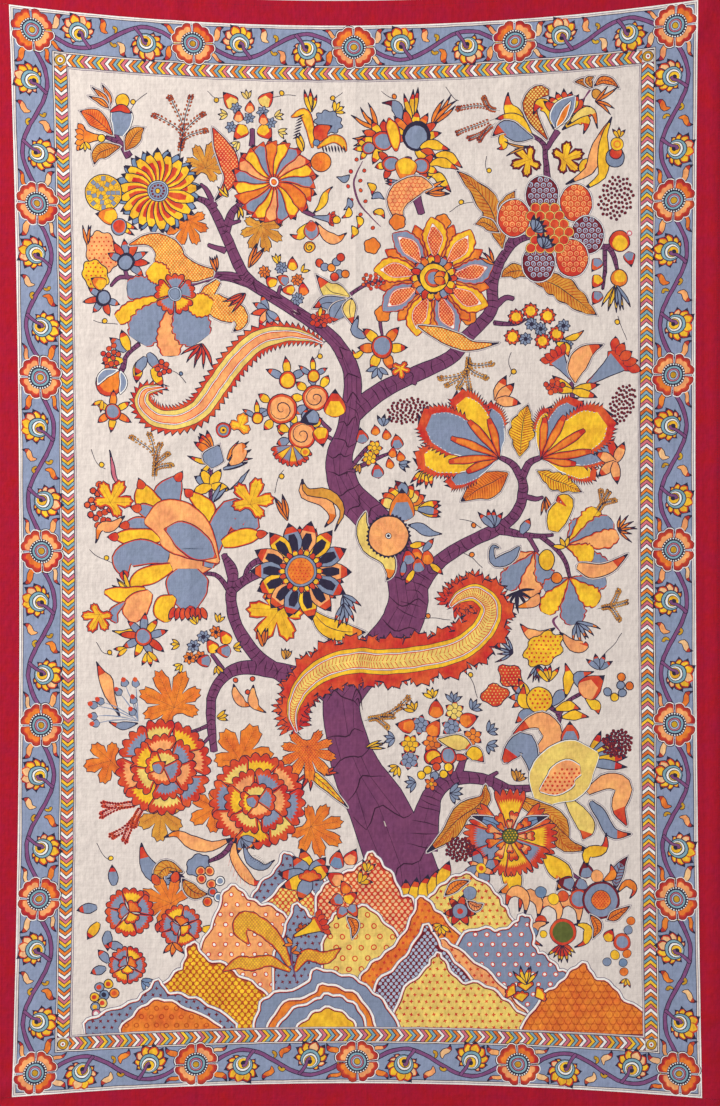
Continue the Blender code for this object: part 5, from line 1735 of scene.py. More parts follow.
flame([36.8 - 8.8j, 35.6 - 10.6j, 32.0 - 11.8j], 1.1, "peach", "orange")
spray(48.2 - 12.0j, [52.4 - 8.4j, 54.2 - 10.6j, 52.6 - 14.2j], 0.24, "ochre", "ink")
stroke([41.0 - 16.6j, 39.6 - 14.6j, 40.4 - 13.4j], 0.6, "purple")
flame([39.8 - 15.8j, 36.8 - 17.4j, 34.4 - 16.6j, 33.0 - 15.0j], 1.2, "peach", "red")
flame([40.8 - 16.6j, 43.4 - 19.2j, 45.8 - 19.4j, 46.0 - 18.6j], 1.3, "peach", "red")
yellow_leaf = draw(frilled(37.6 - 20.0j, 4.6, 7, 0.24, squash=0.72, lean=35), "yellow")
for spot in spots_in(ball(37.6 - 20.0j, 4.2, squash=0.66, lean=35), 0.95):
    fill(ball(spot, 0.22, 6), "red", yellow_leaf)
claws(31.4 - 20.8j, 160, 3.6, 6, 130, "grey", 0.5, 0.3, "maroon")
claws(36.6 - 23.2j, 265, 3.2, 6, 100, "grey", 0.5, 0.3, "maroon")
for spot, lean in ((31.0 - 25.4j, 140), (27.9 - 29.2j, 190)):
    number = draw(frilled(spot, 3.0, 4, 0.3, squash=0.8, lean=lean), "red")
    for place in spots_in(ball(spot, 2.7, squash=0.8, lean=lean), 0.7):
        fill(ball(place, 0.14, 5), "straw", number)
for angle, dye in ((150, "grey"), (185, "grey"), (215, "grey"), (120, "yellow")):
    petal(34.6 - 29.4j, angle, 4.0, 1.6, dye, "red")
for spine, wide, dye in (([36.4 - 32.0j, 33.6 - 30.4j, 33.6 - 27.0j], 1.3, "yellow"),
                         ([37.6 - 32.8j, 34.0 - 33.2j, 32.0 - 34.8j], 1.2, "grey"),
                         ([39.0 - 31.6j, 41.0 - 29.2j, 42.4 - 28.0j], 1.1, "grey"),
                         ([39.6 - 32.2j, 42.6 - 31.4j, 45.0 - 32.0j], 1.1, "yellow"),
                         ([41.0 - 33.8j, 44.0 - 33.2j, 46.6 - 33.6j], 1.0, "yellow"),
                         ([42.0 - 29.6j, 42.6 - 25.8j, 42.0 - 22.8j], 1.1, "yellow"),
                         ([45.4 - 28.4j, 44.6 - 25.6j, 47.6 - 24.6j], 1.1, "grey"),
                         ([45.8 - 29.6j, 48.0 - 31.4j, 48.6 - 33.0j], 1.1, "yellow")):
    flame(spine, wide, dye, "red")
claws(38.4 - 26.4j, 90, 3.6, 4, 90, "yellow", 1.1, 0.1, "red")
draw(ball(36.8 - 30.2j, 2.6), "yellow")
for spot in spots_in(ball(36.8 - 30.2j, 2.3), 0.95):
    fill(ball(spot, 0.24, 6), "red")
drop(47.0 - 27.6j, 2.4, 40, "peach", "red")
leaflets(48.6 - 24.0j, 85, 3.2, 4, 110, "grey", "red")
tendril([49.2 - 21.6j, 51.8 - 19.0j, 53.2 - 16.8j], None)
for spot, dye in ((53.2 - 25.6j, "orange"), (53.0 - 27.2j, "grey"), (54.8 - 27.4j, "orange"),
                  (53.4 - 28.8j, "grey"), (51.8 - 29.6j, "yellow"), (50.4 - 28.6j, "grey")):
    draw(ball(spot, 0.85, 10), dye)
tendril([21.2 - 23.6j, 23.4 - 26.6j, 24.4 - 29.8j], "yellow", 0.3)
tendril([12.9 - 14.0j, 15.6 - 13.8j, 19.0 - 14.2j], "orange", 0.3)
print(len(outlines), "outlines after the lilies")

# %% The lower right
leaf([36.8 - 40.6j, 39.4 - 37.4j, 37.4 - 34.4j, 34.4 - 35.0j, 31.6 - 37.0j], 2.0, "peach", None, 0, "red",
     rib=None, swell=(0.5, 1, 0.9, 0.5, 0.06))
leaf([36.2 - 47.4j, 35.2 - 42.0j, 33.6 - 38.8j, 31.2 - 40.6j, 29.8 - 42.6j], 2.0, "grey", None, 0, "red",
     rib=None, swell=(0.2, 0.7, 1.1, 0.8, 0.3))
flame([38.2 - 41.6j, 40.4 - 39.6j, 42.2 - 39.0j], 0.9, "grey", None)
drop(42.9 - 37.2j, 1.8, 90, "grey", "red")
for angle, dye, long in ((70, "yellow", 5.0), (52, "grey", 5.4), (38, "yellow", 5.6), (24, "grey", 5.8),
                         (8, "yellow", 6.0), (-8, "grey", 6.0)):
    petal(46.8 - 42.6j, angle, long + 1.6, 2.0, dye, "red")
berry_patch(52.4 - 38.9j, 3.1, 2.8, 0.3, "maroon", 60, 20)
for spine, wide, dye in (([42.4 - 50.0j, 45.4 - 54.0j, 46.2 - 56.0j, 45.6 - 58.0j], 1.8, "straw"),
                         ([47.0 - 50.6j, 49.0 - 53.0j, 51.4 - 56.8j, 55.0 - 57.0j], 1.1, "grey"),
                         ([46.4 - 48.6j, 50.4 - 46.4j, 53.6 - 47.6j, 52.6 - 51.8j, 54.2 - 55.2j], 1.7,
                          "peach")):
    leaf(spine, wide, dye, None, 0, "red", rib=None, swell=(0.4, 0.9, 1, 0.8, 0.1))
broad([37.0 - 50.6j, 39.6 - 46.6j, 44.0 - 43.0j, 48.6 - 41.0j], 5.6, "straw", "white",
      (0.3, 0.9, 1.05, 0.85, 0.1), 0, 0, 24)
number = broad([36.8 - 48.4j, 39.8 - 47.0j, 42.6 - 44.6j, 45.0 - 44.2j], 2.7, "peach", "white",
               (0.15, 0.8, 1.1, 0.9, 0.4), 0, 0, 18)[1]
for spot in spots_in(ball(40.9 - 46.6j, 4.4, squash=0.55, lean=35), 0.95):
    fill(ball(spot, 0.26, 6), "red", number)
leaf([26.0 - 47.2j, 25.6 - 50.4j, 21.4 - 52.6j, 19.0 - 56.6j, 14.4 - 60.6j], 1.7, "ochre", "rust", 26,
     swell=(0.1, 0.8, 1, 0.9, 0.06))
leaf([29.8 - 48.4j, 35.2 - 51.4j, 40.4 - 54.2j, 41.6 - 58.8j, 46.6 - 60.2j], 1.7, "ochre", "rust", 26,
     swell=(0.1, 0.8, 1, 0.9, 0.06))
for spot, angle, long in ((30.6 - 62.0j, 278, 5.6), (37.4 - 61.0j, 315, 6.4)):
    leaf([spot, spot + long * 0.5 * way(angle), spot + long * way(angle),
          spot + (long + 1.4) * way(angle - 24)], 1.9, "yellow", None, 0, "orange", rib=None)
centre = 30.9 - 57.4j
for angle, long, dye in ((150, 8.8, "orange"), (185, 9.4, "grey"), (222, 8.6, "grey"),
                         (30, 8.8, "orange"), (-4, 9.6, "yellow"),
                         (-40, 8.6, "grey"), (255, 8.2, "yellow"), (285, 8.2, "yellow"), (90, 9.6, "yellow")):
    scallop(centre, angle, long, 44, 5, dye)
for angle in (142, 38):
    leaf([centre + 1.5 * way(angle), centre + 4.4 * way(angle),
          centre + 8.4 * way(angle + (10 if angle > 90 else -10))], 1.0, "blue", None, 0, "ink")
for ring_radius, count in ((4.4, 9), (3.0, 8)):
    for k in range(count):
        scallop(centre + ring_radius * 0.4 * way(360 / count * k), 360 / count * k, ring_radius * 0.75,
                40, 2, ("peach", "orange")[k % 2])
draw(ball(centre, 1.6), "olive")
for spot in spots_in(ball(centre, 1.4), 0.6):
    fill(ball(spot, 0.15, 5), "yellow")
berry_patch(20.9 - 60.0j, 3.0, 2.4, 0.3, "maroon", 50)
# The round bunch by the trunk.
for spot, dye in ((13.0 - 35.2j, "grey"), (19.8 - 32.4j, "straw"), (19.2 - 35.6j, "grey"),
                  (23.4 - 37.6j, "orange"), (10.9 - 39.0j, "yellow"),
                  (15.3 - 39.0j, "orange"), (10.8 - 42.2j, "grey")):
    star(spot, 2.1, dye, 6, random.uniform(0, 60), dye, "red" if dye != "grey" else "red")
for spot, angle in ((16.1 - 32.2j, 90), (10.3 - 35.4j, 170), (15.6 - 36.0j, 60), (22.4 - 34.2j, 20)):
    drop(spot, 1.5, angle, "orange", "red")
for spine, wide, dye in (([16.6 - 38.0j, 19.6 - 38.6j, 21.8 - 39.0j, 23.6 - 40.4j], 1.5, "straw"),
                         ([22.0 - 41.0j, 24.0 - 41.0j, 25.6 - 42.6j], 1.4, "yellow")):
    leaf(spine, wide, dye, None, 0, "red", rib=None)
bud(15.4 - 41.6j, 1.7, 200, "yellow", "red", ("yellow",), 0)
bud(18.6 - 41.4j, 1.7, 280, "grey", "red", ("red",), 3)
for spot, dye in ((14.4 - 44.2j, "yellow"), (16.2 - 43.6j, "red"), (17.6 - 45.0j, "yellow"),
                  (15.8 - 45.4j, "grey"), (13.2 - 45.2j, "yellow"), (18.6 - 43.6j, "yellow")):
    draw(ball(spot, 0.85, 10), dye)
star(15.1 - 47.0j, 1.5, "orange", 5)
for spot, angle in ((11.6 - 32.4j, 120), (15.2 - 29.8j, 100), (19.4 - 30.6j, 80), (23.2 - 32.0j, 45),
                    (26.4 - 36.4j, 30), (26.4 - 39.0j, 330),
                    (7.8 - 38.0j, 180), (8.6 - 43.6j, 225), (12.0 - 46.8j, 190)):
    leaflets(spot, angle, 2.2, 4, 100, "grey" if random.random() < 0.5 else "yellow")
spray(1.6 - 34.4j, [10.3 - 29.8j, 9.0 - 31.6j, 7.4 - 33.6j, 6.2 - 35.8j], 0.25, "ochre", "ink")
claws(2.2 - 39.6j, 10, 3.4, 4, 50, "yellow", 0.6, 0.2)
leaflets(32.0 - 46.2j, 60, 2.4, 5, 100, "ochre")
leaflets(19.0 - 48.6j, 350, 2.6, 5, 120, "grey")
serpent([-11.8 - 36.6j, -12.6 - 32.6j, -10.6 - 27.6j, -5.8 - 23.8j, 0.4 - 22.3j, 5.0 - 22.6j,
         12.9 - 21.9j, 20.6 - 20.0j, 25.6 - 16.0j,
         27.0 - 11.6j, 24.2 - 8.8j, 20.8 - 9.6j, 19.0 - 11.4j], 2.9, "red", "yellow", "straw", 110, 1.0,
         17, True, 32)
tendril([32.4 - 28.8j, 30.2 - 26.4j], None)
print(len(outlines), "outlines after the lower right")

# %% [markdown]
# ## The hills
# They stand one before another like stage scenery. Each has a white band under its ridge line and its
# own small pattern, and only as much of the pattern is drawn as the hills in front of it leave open.

# %% The hills, from the farthest to the nearest
HILLS = [
    ([-20.5 - 70j, -18.7 - 67.0j, -15.7 - 64.4j, -14.2 - 61.2j, -12.7 - 61.8j, -9.1 - 64.2j, -6.1 - 67j,
      -3.4 - 72j],
     "grey", ticks, {}),
    ([-20.1 - 73.0j, -15.1 - 68.2j, -12.3 - 65.6j, -9.1 - 68.8j, -6.1 - 70.8j, -3.8 - 76j], "red", net,
     dict(dot="straw")),
    ([-7.5 - 70j, -6.1 - 67.6j, -2.1 - 65.2j, 0.9 - 63.6j, 3.2 - 61.0j, 4.9 - 63j, 7.3 - 65.6j, 9.0 - 69.4j,
      11.6 - 71j, 12.0 - 80j], "red", net, dict(dot="apricot", step=1.2)),
    ([12.6 - 78j, 13.9 - 73.2j, 14.9 - 70.2j, 17.1 - 67.8j, 19.9 - 65.8j, 22.9 - 65.4j, 27.1 - 68.2j,
      28.9 - 70.8j,
      30.5 - 73.2j, 33 - 78j], "straw", ticks, dict(dye="red")),
    ([-34 - 90j, -31.9 - 83j, -30.3 - 79j, -27.7 - 73.8j, -26.1 - 69j, -24.3 - 67.6j, -22.3 - 69.4j,
      -19.5 - 71.2j,
      -16.3 - 71.9j, -13.3 - 75.4j, -9 - 84j], "peach", ringed_dots, dict(ring="red")),
    ([-16.1 - 82j, -13.5 - 75.6j, -11.9 - 71.4j, -10.1 - 72.8j, -7.3 - 75.4j, -2.1 - 80.2j, 2.4 - 88j],
     "grey", ticks, {}),
    ([-6.3 - 80j, -5.3 - 75.6j, -3.9 - 73.4j, -1.0 - 72.4j, 2.1 - 71.8j, 5.1 - 74.4j, 8.5 - 78.2j, 11 - 84j],
     "straw", ringed_dots, dict(ring="red", dot="straw", step=2.5, size=0.6)),
    ([0.6 - 90j, 1.3 - 86j, 3.4 - 83.2j, 6.3 - 81j, 9.3 - 78j, 11.5 - 74.0j, 13.1 - 69.8j, 15.3 - 71.8j,
      17.9 - 74.4j,
      22.9 - 80.2j, 28.9 - 87.2j, 34 - 92j], "orange", ticks, dict(dye="red")),
    ([19.4 - 82j, 21.7 - 77.4j, 25.9 - 76.2j, 28.9 - 76.6j, 31.9 - 75.2j, 33.3 - 73.6j, 34.7 - 74.2j,
      35.2 - 78.2j,
      36.1 - 80.6j, 38.1 - 81.8j, 40.3 - 84.2j, 42.3 - 85.6j, 44 - 92j], "grey", ringed_dots,
      dict(ring="red")),
    ([17 - 78j, 20.5 - 80.4j, 27.0 - 85.4j, 31.4 - 90j, 35.9 - 95j], "peach", ticks, dict(dye="red")),
    ([3.2 - 92j, 4.6 - 87.0j, 8.9 - 83.2j, 11.9 - 79.2j, 14.3 - 75.4j, 16.3 - 79.0j, 18.9 - 81.8j,
      22.9 - 86.2j,
      28.9 - 90.8j, 32 - 95j], "maroon", net, dict(dot="pale_blue")),
    ([-40.2 - 89j, -36.1 - 85.2j, -34.1 - 83.2j, -33.4 - 80.0j, -32.1 - 79.2j, -30.1 - 82.2j, -26.1 - 83.4j,
      -24.1 - 85.2j, -20.1 - 87.4j, -17.1 - 90.2j, -9 - 96j], "rust", net,
      dict(dot="yellow", step=1.3, size=0.48)),
    ([-54 - 95j, -50.1 - 93.0j, -45.1 - 91.2j, -42.1 - 89.2j, -39.5 - 86.6j, -37.9 - 88.8j, -34.1 - 89.6j,
      -30.1 - 91.2j, -24 - 95j], "grey", ticks, {}),
    ([-46.8 - 96j, -43.1 - 92.4j, -39.5 - 90.4j, -35.1 - 91.6j, -27 - 95.6j], "orange", ringed_dots,
     dict(ring="rust", dot="orange", step=2.0)),
    ([7.4 - 95j, 9.9 - 88.4j, 13.9 - 84.6j, 15.5 - 82.2j, 16.5 - 81.2j, 17.9 - 83.2j, 20.9 - 86.8j,
      24.9 - 87.2j,
      28.9 - 89.6j, 31.9 - 92.2j, 37.5 - 96j], "straw", ticks, dict(dye="red")),
    ([33.5 - 96j, 37.9 - 89.4j, 40.9 - 87.2j, 43.3 - 84.6j, 45.9 - 83.2j, 47.5 - 85.8j, 50.9 - 87.2j,
      53.3 - 90.2j,
      58 - 93j], "orange", scales, {}),
    ([-20 - 96j, -18.7 - 91.2j, -16.1 - 89.2j, -10.1 - 87.6j, -7.9 - 84.4j, -4.1 - 85.2j, -0.1 - 86.2j,
      2.9 - 88.6j,
      5.9 - 91.4j, 9 - 97j], "grey", None, {}),
    ([-17.4 - 96j, -14.4 - 91.2j, -8.9 - 89.6j, -6.6 - 87.4j, -2.9 - 88.2j, 0.8 - 90j, 4 - 96j], "orange",
     None, {}),
    ([-15.4 - 96j, -12.4 - 92.4j, -7.9 - 90.6j, -5.6 - 89.4j, -2.4 - 90.2j, 0.2 - 92j, 2 - 96j], "grey",
     None, {}),
    ([-11.6 - 96j, -8.4 - 93.2j, -5.4 - 92.0j, -1.8 - 93.6j, 0 - 96j], "yellow", None, {}),
]
FOOT = -97.0


def hill_outline(ridge):
    line = curve(np.array(ridge, complex), len(ridge) * 5)
    run = np.gradient(line)
    line = line + 1j * run / abs(run) * 0.22 * np.sin(np.arange(len(line)) * 1.25)
    return np.concatenate([line, [ridge[-1].real + 1j * FOOT, ridge[0].real + 1j * FOOT]])




def swan(place, size=1.0, dye="peach", tip="red"):
    """A leaf like a swan's neck, with its beak down."""
    flame([place + size * (1.6 - 2.8j), place + size * (1.9 + 0.6j), place + size * 2.4j,
           place + size * (-1.8 + 1.2j), place + size * (-2.3 - 1.2j)], 1.2 * size, dye, tip)


# Fruits and leaves to the right of the hills, from the top down.
for place, angle, dye in ((42.3 - 66.8j, 170, "grey"), (46.1 - 64.4j, 100, "grey"),
                          (44.9 - 67.4j, 220, "grey")):
    drop(place, 1.4, angle, dye, "maroon")
rings(48.3 - 65.4j, (1.3, "ink"), (1.2, "peach"))
leaf([52.0 - 67.8j, 52.4 - 64.6j, 54.3 - 61.6j], 1.2, "grey", "maroon", 9, "maroon")
flame([49.4 - 66.4j, 51.4 - 65.2j, 51.0 - 63.0j], 0.9, "orange", "red")
flame([46.4 - 63.4j, 46.4 - 60.8j, 49.6 - 60.0j, 50.2 - 56.8j], 1.2, "yellow", "red")
flame([52.2 - 68.8j, 54.2 - 66.8j, 55.8 - 68.0j, 54.9 - 69.8j], 0.8, "orange", "red")
claws(44.9 - 69.4j, 150, 2.6, 4, 90, "yellow", 0.6, 0.3, "red")
for place in (42.9 - 72.6j, 38.9 - 72.6j, 34.9 - 71.4j, 32.3 - 70.6j):
    swan(place, 0.95)
for place, dye in ((37.1 - 68.6j, "blue"), (41.5 - 69.4j, "red"), (37.1 - 74.4j, "red"),
                   (39.6 - 70.0j, "yellow")):
    rings(place, (1.2, "ink"), (1.08, dye))
rings(44.7 - 70j, (2.0, "ink"), (1.88, "red"), (1.5, "grey"))
rings(49.1 - 70.2j, (3.8, "ink"), (3.66, "maroon"), (3.3, "grey"), (2.0, "ink"), (1.86, "orange"))
net(ball(49.1 - 70.2j, 1.7), fill(ball(49.1 - 70.2j, 1.7), "orange"), "red", 0.6, 0.2)
claws(41.5 - 79.0j, 270, 3.6, 7, 120, "red", 0.8, 0.1, "yellow")
rings(41.5 - 76.6j, (2.75, "ink"), (2.62, "red"), (2.1, "olive"))
flame([38.6 - 74.6j, 36.2 - 75.4j, 35.4 - 78.0j, 37.4 - 79.4j], 0.9, "peach", "red")
flame([43.8 - 75.0j, 46.4 - 75.8j, 46.0 - 78.4j, 43.9 - 79.6j], 0.9, "yellow", "red")
leaf([50.4 - 74.2j, 52.1 - 73.2j, 54.8 - 71.4j], 0.9, "orange", "rust", 9)
leaf([47.0 - 73.2j, 48.4 - 75.4j, 47.6 - 77.8j], 0.9, "orange", "rust", 9)
BEADS = ((55.1 - 74.4j, 0.8, "orange"), (54.5 - 76.2j, 0.8, "grey"), (51.9 - 81.2j, 0.9, "yellow"),
         (54.3 - 80.9j, 0.8, "orange"), (50.3 - 82.6j, 0.8, "grey"), (53.5 - 82.7j, 0.8, "blue"),
         (53.7 - 84.6j, 0.8, "orange"), (35.6 - 76.6j, 0.8, "blue"), (37.6 - 77.0j, 0.7, "yellow"))
for place, size, dye in BEADS:
    rings(place, (size + 0.12, "ink"), (size, dye))
drop(50.7 - 77.4j, 1.1, 60, "yellow", "red")
rings(53.3 - 78.6j, (1.8, "ink"), (1.7, "red"), (1.2, "grey"))
leaflets(54.3 - 86.0j, 250, 1.8, 3, 80, "yellow", "red")
for angle in (20, 110, 200, 290):
    petal(25.1 - 63.8j, angle, 4.2, 2.1, "grey", "red")
    petal(25.1 - 63.8j, angle + 45, 3.0, 1.3, "peach", "red")
rings(25.1 - 63.8j, (1.1, "ink"), (1.0, "yellow"), (0.5, "red"))
for k in range(5):
    petal(9.9 - 71.6j + 1.7 * k + 0.25j * k * k, 88 - 5 * k, 5.6, 2.6, "yellow", "red")
hill_outlines = [hill_outline(ridge) for ridge, _, _, _ in HILLS]
for k, (_, body, pattern, extra) in enumerate(HILLS):
    outline = hill_outlines[k]
    for by, shade in ((0.78, "line"), (0.64, "white"), (0.24, "red"), (0.1, "ink")):
        fill(grow(outline, by), shade, FIELD)
    number = fill(grow(outline, -0.04), body, FIELD)
    if pattern:
        pattern(outline, number, hidden_by=hill_outlines[k + 1:], **extra)
print(len(outlines), "outlines with the hills")

# %% [markdown]
# ## Plants in front of the hills
# A few plants are painted after the hills and so lie over them: a splayed flower and some fruits
# beside the trunk, ochre leaves that wind up out of the middle, and a bud and a tuft at the right.

# %% Plants in front of the hills
for k, (angle, long) in enumerate(((100, 6.2), (134, 5.6), (166, 6.4), (204, 6.0), (238, 5.0), (60, 5.2),
                                   (24, 4.6))):
    petal(-9.1 - 65.8j, angle, long, 2.9, "grey" if k % 3 else "yellow", "red", bend=0.12 * (-1) ** k)
scallop(-9.1 - 66.6j, 90, 2.6, 150, 4, "orange")
BLOBS = ((-3.7 - 62.4j, 1.5, 80, "blue"), (-0.9 - 61.8j, 1.4, 60, "peach"), (-3.9 - 66.0j, 1.5, 150, "peach"),
         (-3.7 - 70.2j, 1.2, 200, "grey"), (-2.7 - 72.6j, 1.1, 240, "grey"), (-0.5 - 72.2j, 1.1, 300, "grey"),
         (-1.1 - 69.8j, 1.2, 40, "yellow"), (-2.0 - 67.8j, 1.1, 120, "orange"))
for place, size, angle, dye in BLOBS:
    drop(place, size, angle, dye, "red")
leaflets(0.7 - 66.6j, 40, 2.8, 3, 80, "yellow", "red")
leaflets(2.1 - 64.4j, 70, 2.4, 3, 70, "yellow", "red")
leaf([-1.6 - 73.6j, -0.2 - 75.2j, -0.6 - 77.8j], 0.9, "orange", "rust", 9)
SNAKES = (([-13.1 - 83.4j, -15.6 - 78.6j, -19.1 - 75.4j, -22.1 - 74.2j, -23.0 - 76.4j, -21.3 - 79.0j], 1.7),
          ([-13.1 - 84.4j, -17.1 - 82.4j, -20.7 - 83.0j, -23.4 - 82.8j, -26.5 - 84.4j], 1.3),
          ([-12.1 - 84.4j, -9.9 - 81.2j, -6.2 - 81.8j, -2.9 - 79.8j], 1.2))
for spine, wide in SNAKES:
    blade, number = broad(spine, wide, "ochre", "red", (0.3, 0.9, 1.1, 1.0, 0.1), frill=9, bite=0.14,
                          steps=30)
    net(blade.edge(-0.3), number, "yellow", 0.62, 0.2)
stroke([-11.9 - 86.4j, -12.9 - 81.0j, -12.5 - 77.2j], 0.5, "ink", 10)
stroke([-11.9 - 86.4j, -12.9 - 81.0j, -12.5 - 77.2j], 0.26, "vine", 10)
leaflets(-12.8 - 80.6j, 20, 2.0, 2, 60, "orange")
leaflets(-12.6 - 79.0j, 160, 2.0, 2, 60, "orange")
star(-10.6 - 76.2j, 1.5, "rust")
trumpet(-12.4 - 77.4j, 20, 6.6, 1.9, "yellow", "red")
leaf([18.0 - 69.2j, 20.0 - 67.4j, 22.6 - 66.4j], 1.0, "orange", "rust", 9)
for angle in (30, 80, 130, 190, 240, 300, 350):
    petal(20.9 - 72.4j, angle, 3.3, 1.6, "maroon" if angle % 20 else "red", "red")
rings(20.9 - 72.4j, (1.6, "ink"), (1.5, "grey"), (0.6, "red"))
rings(22.9 - 68.8j, (1.4, "ink"), (1.3, "grey"))
leaf([22.4 - 70.4j, 24.0 - 71.6j, 25.4 - 71.0j], 0.8, "peach", "rust", 8)
leaflets(17.3 - 75.4j, 250, 2.2, 5, 150, "yellow", "red")
for place, angle in ((32.1 - 88.2j, 150), (34.1 - 87.6j, 95), (35.9 - 88.8j, 30), (33.3 - 89.8j, 100)):
    scallop(place - 0.8j, angle, 2.3, 110, 4, "yellow")
claws(34.0 - 87.0j, 90, 3.4, 5, 110, "yellow", 0.8, 0.2, "red")
print(len(outlines), "outlines after the plants in front of the hills")

# %% Drop what is hidden
def bounds_of(outline):
    return outline.real.min(), outline.imag.min(), outline.real.max(), outline.imag.max()


def drop_hidden():
    """Takes out each outline that lies wholly under one later, whole outline. It is a matter of time only."""
    boxes = np.array([bounds_of(outline) for outline, _, _ in outlines])
    wide = (boxes[:, 2] - boxes[:, 0]) * (boxes[:, 3] - boxes[:, 1])
    shown = np.ones(len(outlines), bool)
    for number in range(FIELD + 1, len(outlines)):
        outline, _, inside = outlines[number]
        if wide[number] < 1.0 or inside not in (None, FIELD):
            continue
        box = boxes[number]
        under = (boxes[:number, :2] > box[:2]).all(1) & (boxes[:number, 2:] < box[2:]).all(1) & shown[:number]
        for other in np.flatnonzero(under):
            shown[other] = not within(outlines[other][0], outline).all()
    needed = {inside for n, (_, _, inside) in enumerate(outlines) if shown[n]}
    shown[[n for n in needed if n is not None]] = True
    place = np.cumsum(shown) - 1
    kept = [(outline, dye, None if inside is None else int(place[inside]))
            for n, (outline, dye, inside) in enumerate(outlines) if shown[n]]
    return kept, int(place[panel])


outlines, panel = drop_hidden()
print(len(outlines), "outlines are seen, at least in part")

# %% [markdown]
# ## Cutting the drawing into one mesh
# Blender's constrained triangulation takes all the outlines at once and gives triangles that no line
# crosses, each with the list of outlines that cover it. The last outline in that list is what shows.
# A second pass keeps only the lines where the dye changes, which drops everything that is covered,
# and adds loose points all over the cloth for the folds to bend.

# %% The first pass: what shows where
CLOSE = 1e-4


def triangulate(spots, edges, faces):
    """Points, edges and triangles, with the given edges and faces that each comes from."""
    points = [Vector((spot.real, spot.imag)) for spot in spots]
    made = delaunay_2d_cdt(points, edges, faces, 1, CLOSE, True)
    return np.array([complex(p.x, p.y) for p in made[0]]), made[1], np.array(made[2]), made[4], made[5]


def topmost(covering):
    """The number of the outline that shows, of those that cover a triangle."""
    for number in sorted(covering, reverse=True):
        cut = number
        while cut is not None and cut in covering:
            cut = outlines[cut][2]
        if cut is None:
            return number
    return -1


def first_pass():
    """The triangles between all the outlines, and each one's dye as a number.

    An outline that also covers a place off the cloth was read inside out, and is left out.
    """
    faces, start = [], 0
    for outline, _, _ in outlines:
        faces.append(list(range(start, start + len(outline))))
        start += len(outline)
    spots = np.concatenate([outline for outline, _, _ in outlines])
    spots, _, triangles, _, covering = triangulate(spots, [], faces)
    number_of = {name: number for number, name in enumerate(DYES)}
    inside_out = {number for c in covering if panel not in c for number in c}
    shown = [topmost([n for n in c if n not in inside_out]) if panel in c else -1 for c in covering]
    dye = np.array([number_of[outlines[n][1]] if n >= 0 else -1 for n in shown])
    return spots, triangles[dye >= 0], dye[dye >= 0]


def dye_lines(triangles, dye):
    """The directed edges where the dye changes, with the dye on the left of each."""
    starts = triangles.reshape(-1).tolist()
    ends = np.roll(triangles, -1, axis=1).reshape(-1).tolist()
    side = dict(zip(zip(starts, ends), np.repeat(dye, 3).tolist()))
    return {(a, b): d for (a, b), d in side.items() if side.get((b, a), -1) != d}


# %% The second pass: only the lines where the dye changes, and loose points
LATTICE = 0.01  # points this close, in centimetres, become one


def snapped(spots, lines):
    """The ends of the lines on a fine lattice, and the lines between them."""
    place = np.round(spots / LATTICE) * LATTICE
    number_of, left = {}, {}
    for (a, b), d in lines.items():
        a = number_of.setdefault(complex(place[a]), len(number_of))
        b = number_of.setdefault(complex(place[b]), len(number_of))
        if a != b:
            left[a, b] = d
    return np.array(list(number_of)), left


def second_pass(spots, left, loose, joins):
    """The final triangles and their dyes. A region takes the dye that most of its outline has.

    The joins are lines that triangles stop at but the dye runs across.
    """
    edges = sorted({(min(pair), max(pair)) for pair in left})
    given = np.concatenate([spots, loose, np.array(joins).reshape(-1)])
    first_join = len(given) - 2 * len(joins)
    lines = edges + [(first_join + 2 * k, first_join + 2 * k + 1) for k in range(len(joins))]
    made, made_edges, triangles, origins, _ = triangulate(given, lines, [])
    wall = {}
    for (u, v), origin in zip(made_edges, origins):
        origin = [n for n in origin if n < len(edges)]
        if not origin:
            continue
        i, j = edges[origin[0]]
        if ((made[v] - made[u]) * (given[j] - given[i]).conjugate()).real < 0:
            i, j = j, i
        wall[u, v] = left.get((i, j), -1)
        wall[v, u] = left.get((j, i), -1)
    corners = triangles.tolist()
    side = {(t[k], t[(k + 1) % 3]): n for n, t in enumerate(corners) for k in range(3)}
    dye = [None] * len(corners)
    for first in range(len(corners)):
        if dye[first] is not None:
            continue
        region, votes = [first], {}
        dye[first] = -2
        for n in region:
            t = corners[n]
            for k in range(3):
                a, b = t[k], t[(k + 1) % 3]
                if (a, b) in wall:
                    votes[wall[a, b]] = votes.get(wall[a, b], 0) + abs(made[a] - made[b])
                elif (b, a) in side and dye[side[b, a]] is None:
                    dye[side[b, a]] = -2
                    region.append(side[b, a])
        chosen = max(votes, key=votes.get) if votes else -1
        for n in region:
            dye[n] = chosen
    dye = np.array(dye)
    return made, triangles[dye >= 0], dye[dye >= 0]


# %% Loose points for the folds
def loose_points(low, high, step):
    """A grid over the cloth, with closer rows along each fold and crease."""
    x = np.arange(low.real, high.real, step)
    y = np.arange(low.imag, high.imag, step)
    rows = [(x[None, :] + 1j * y[:, None]).reshape(-1)]
    for table, along_step in ((FOLDS, 1.6), (CREASES, 0.8)):
        for start, end, half_width, _ in table:
            run = end - start
            count = max(2, int(abs(run) / along_step))
            share = np.linspace(0, 1, count)
            side = 1j * run / abs(run) * half_width
            for across in (-0.99, -0.5, 0.0, 0.5, 0.99):
                rows.append(start + run * share + side * across)
    spots = np.concatenate(rows)
    inside = (spots.real > low.real) & (spots.real < high.real)
    inside &= (spots.imag > low.imag) & (spots.imag < high.imag)
    return spots[inside]


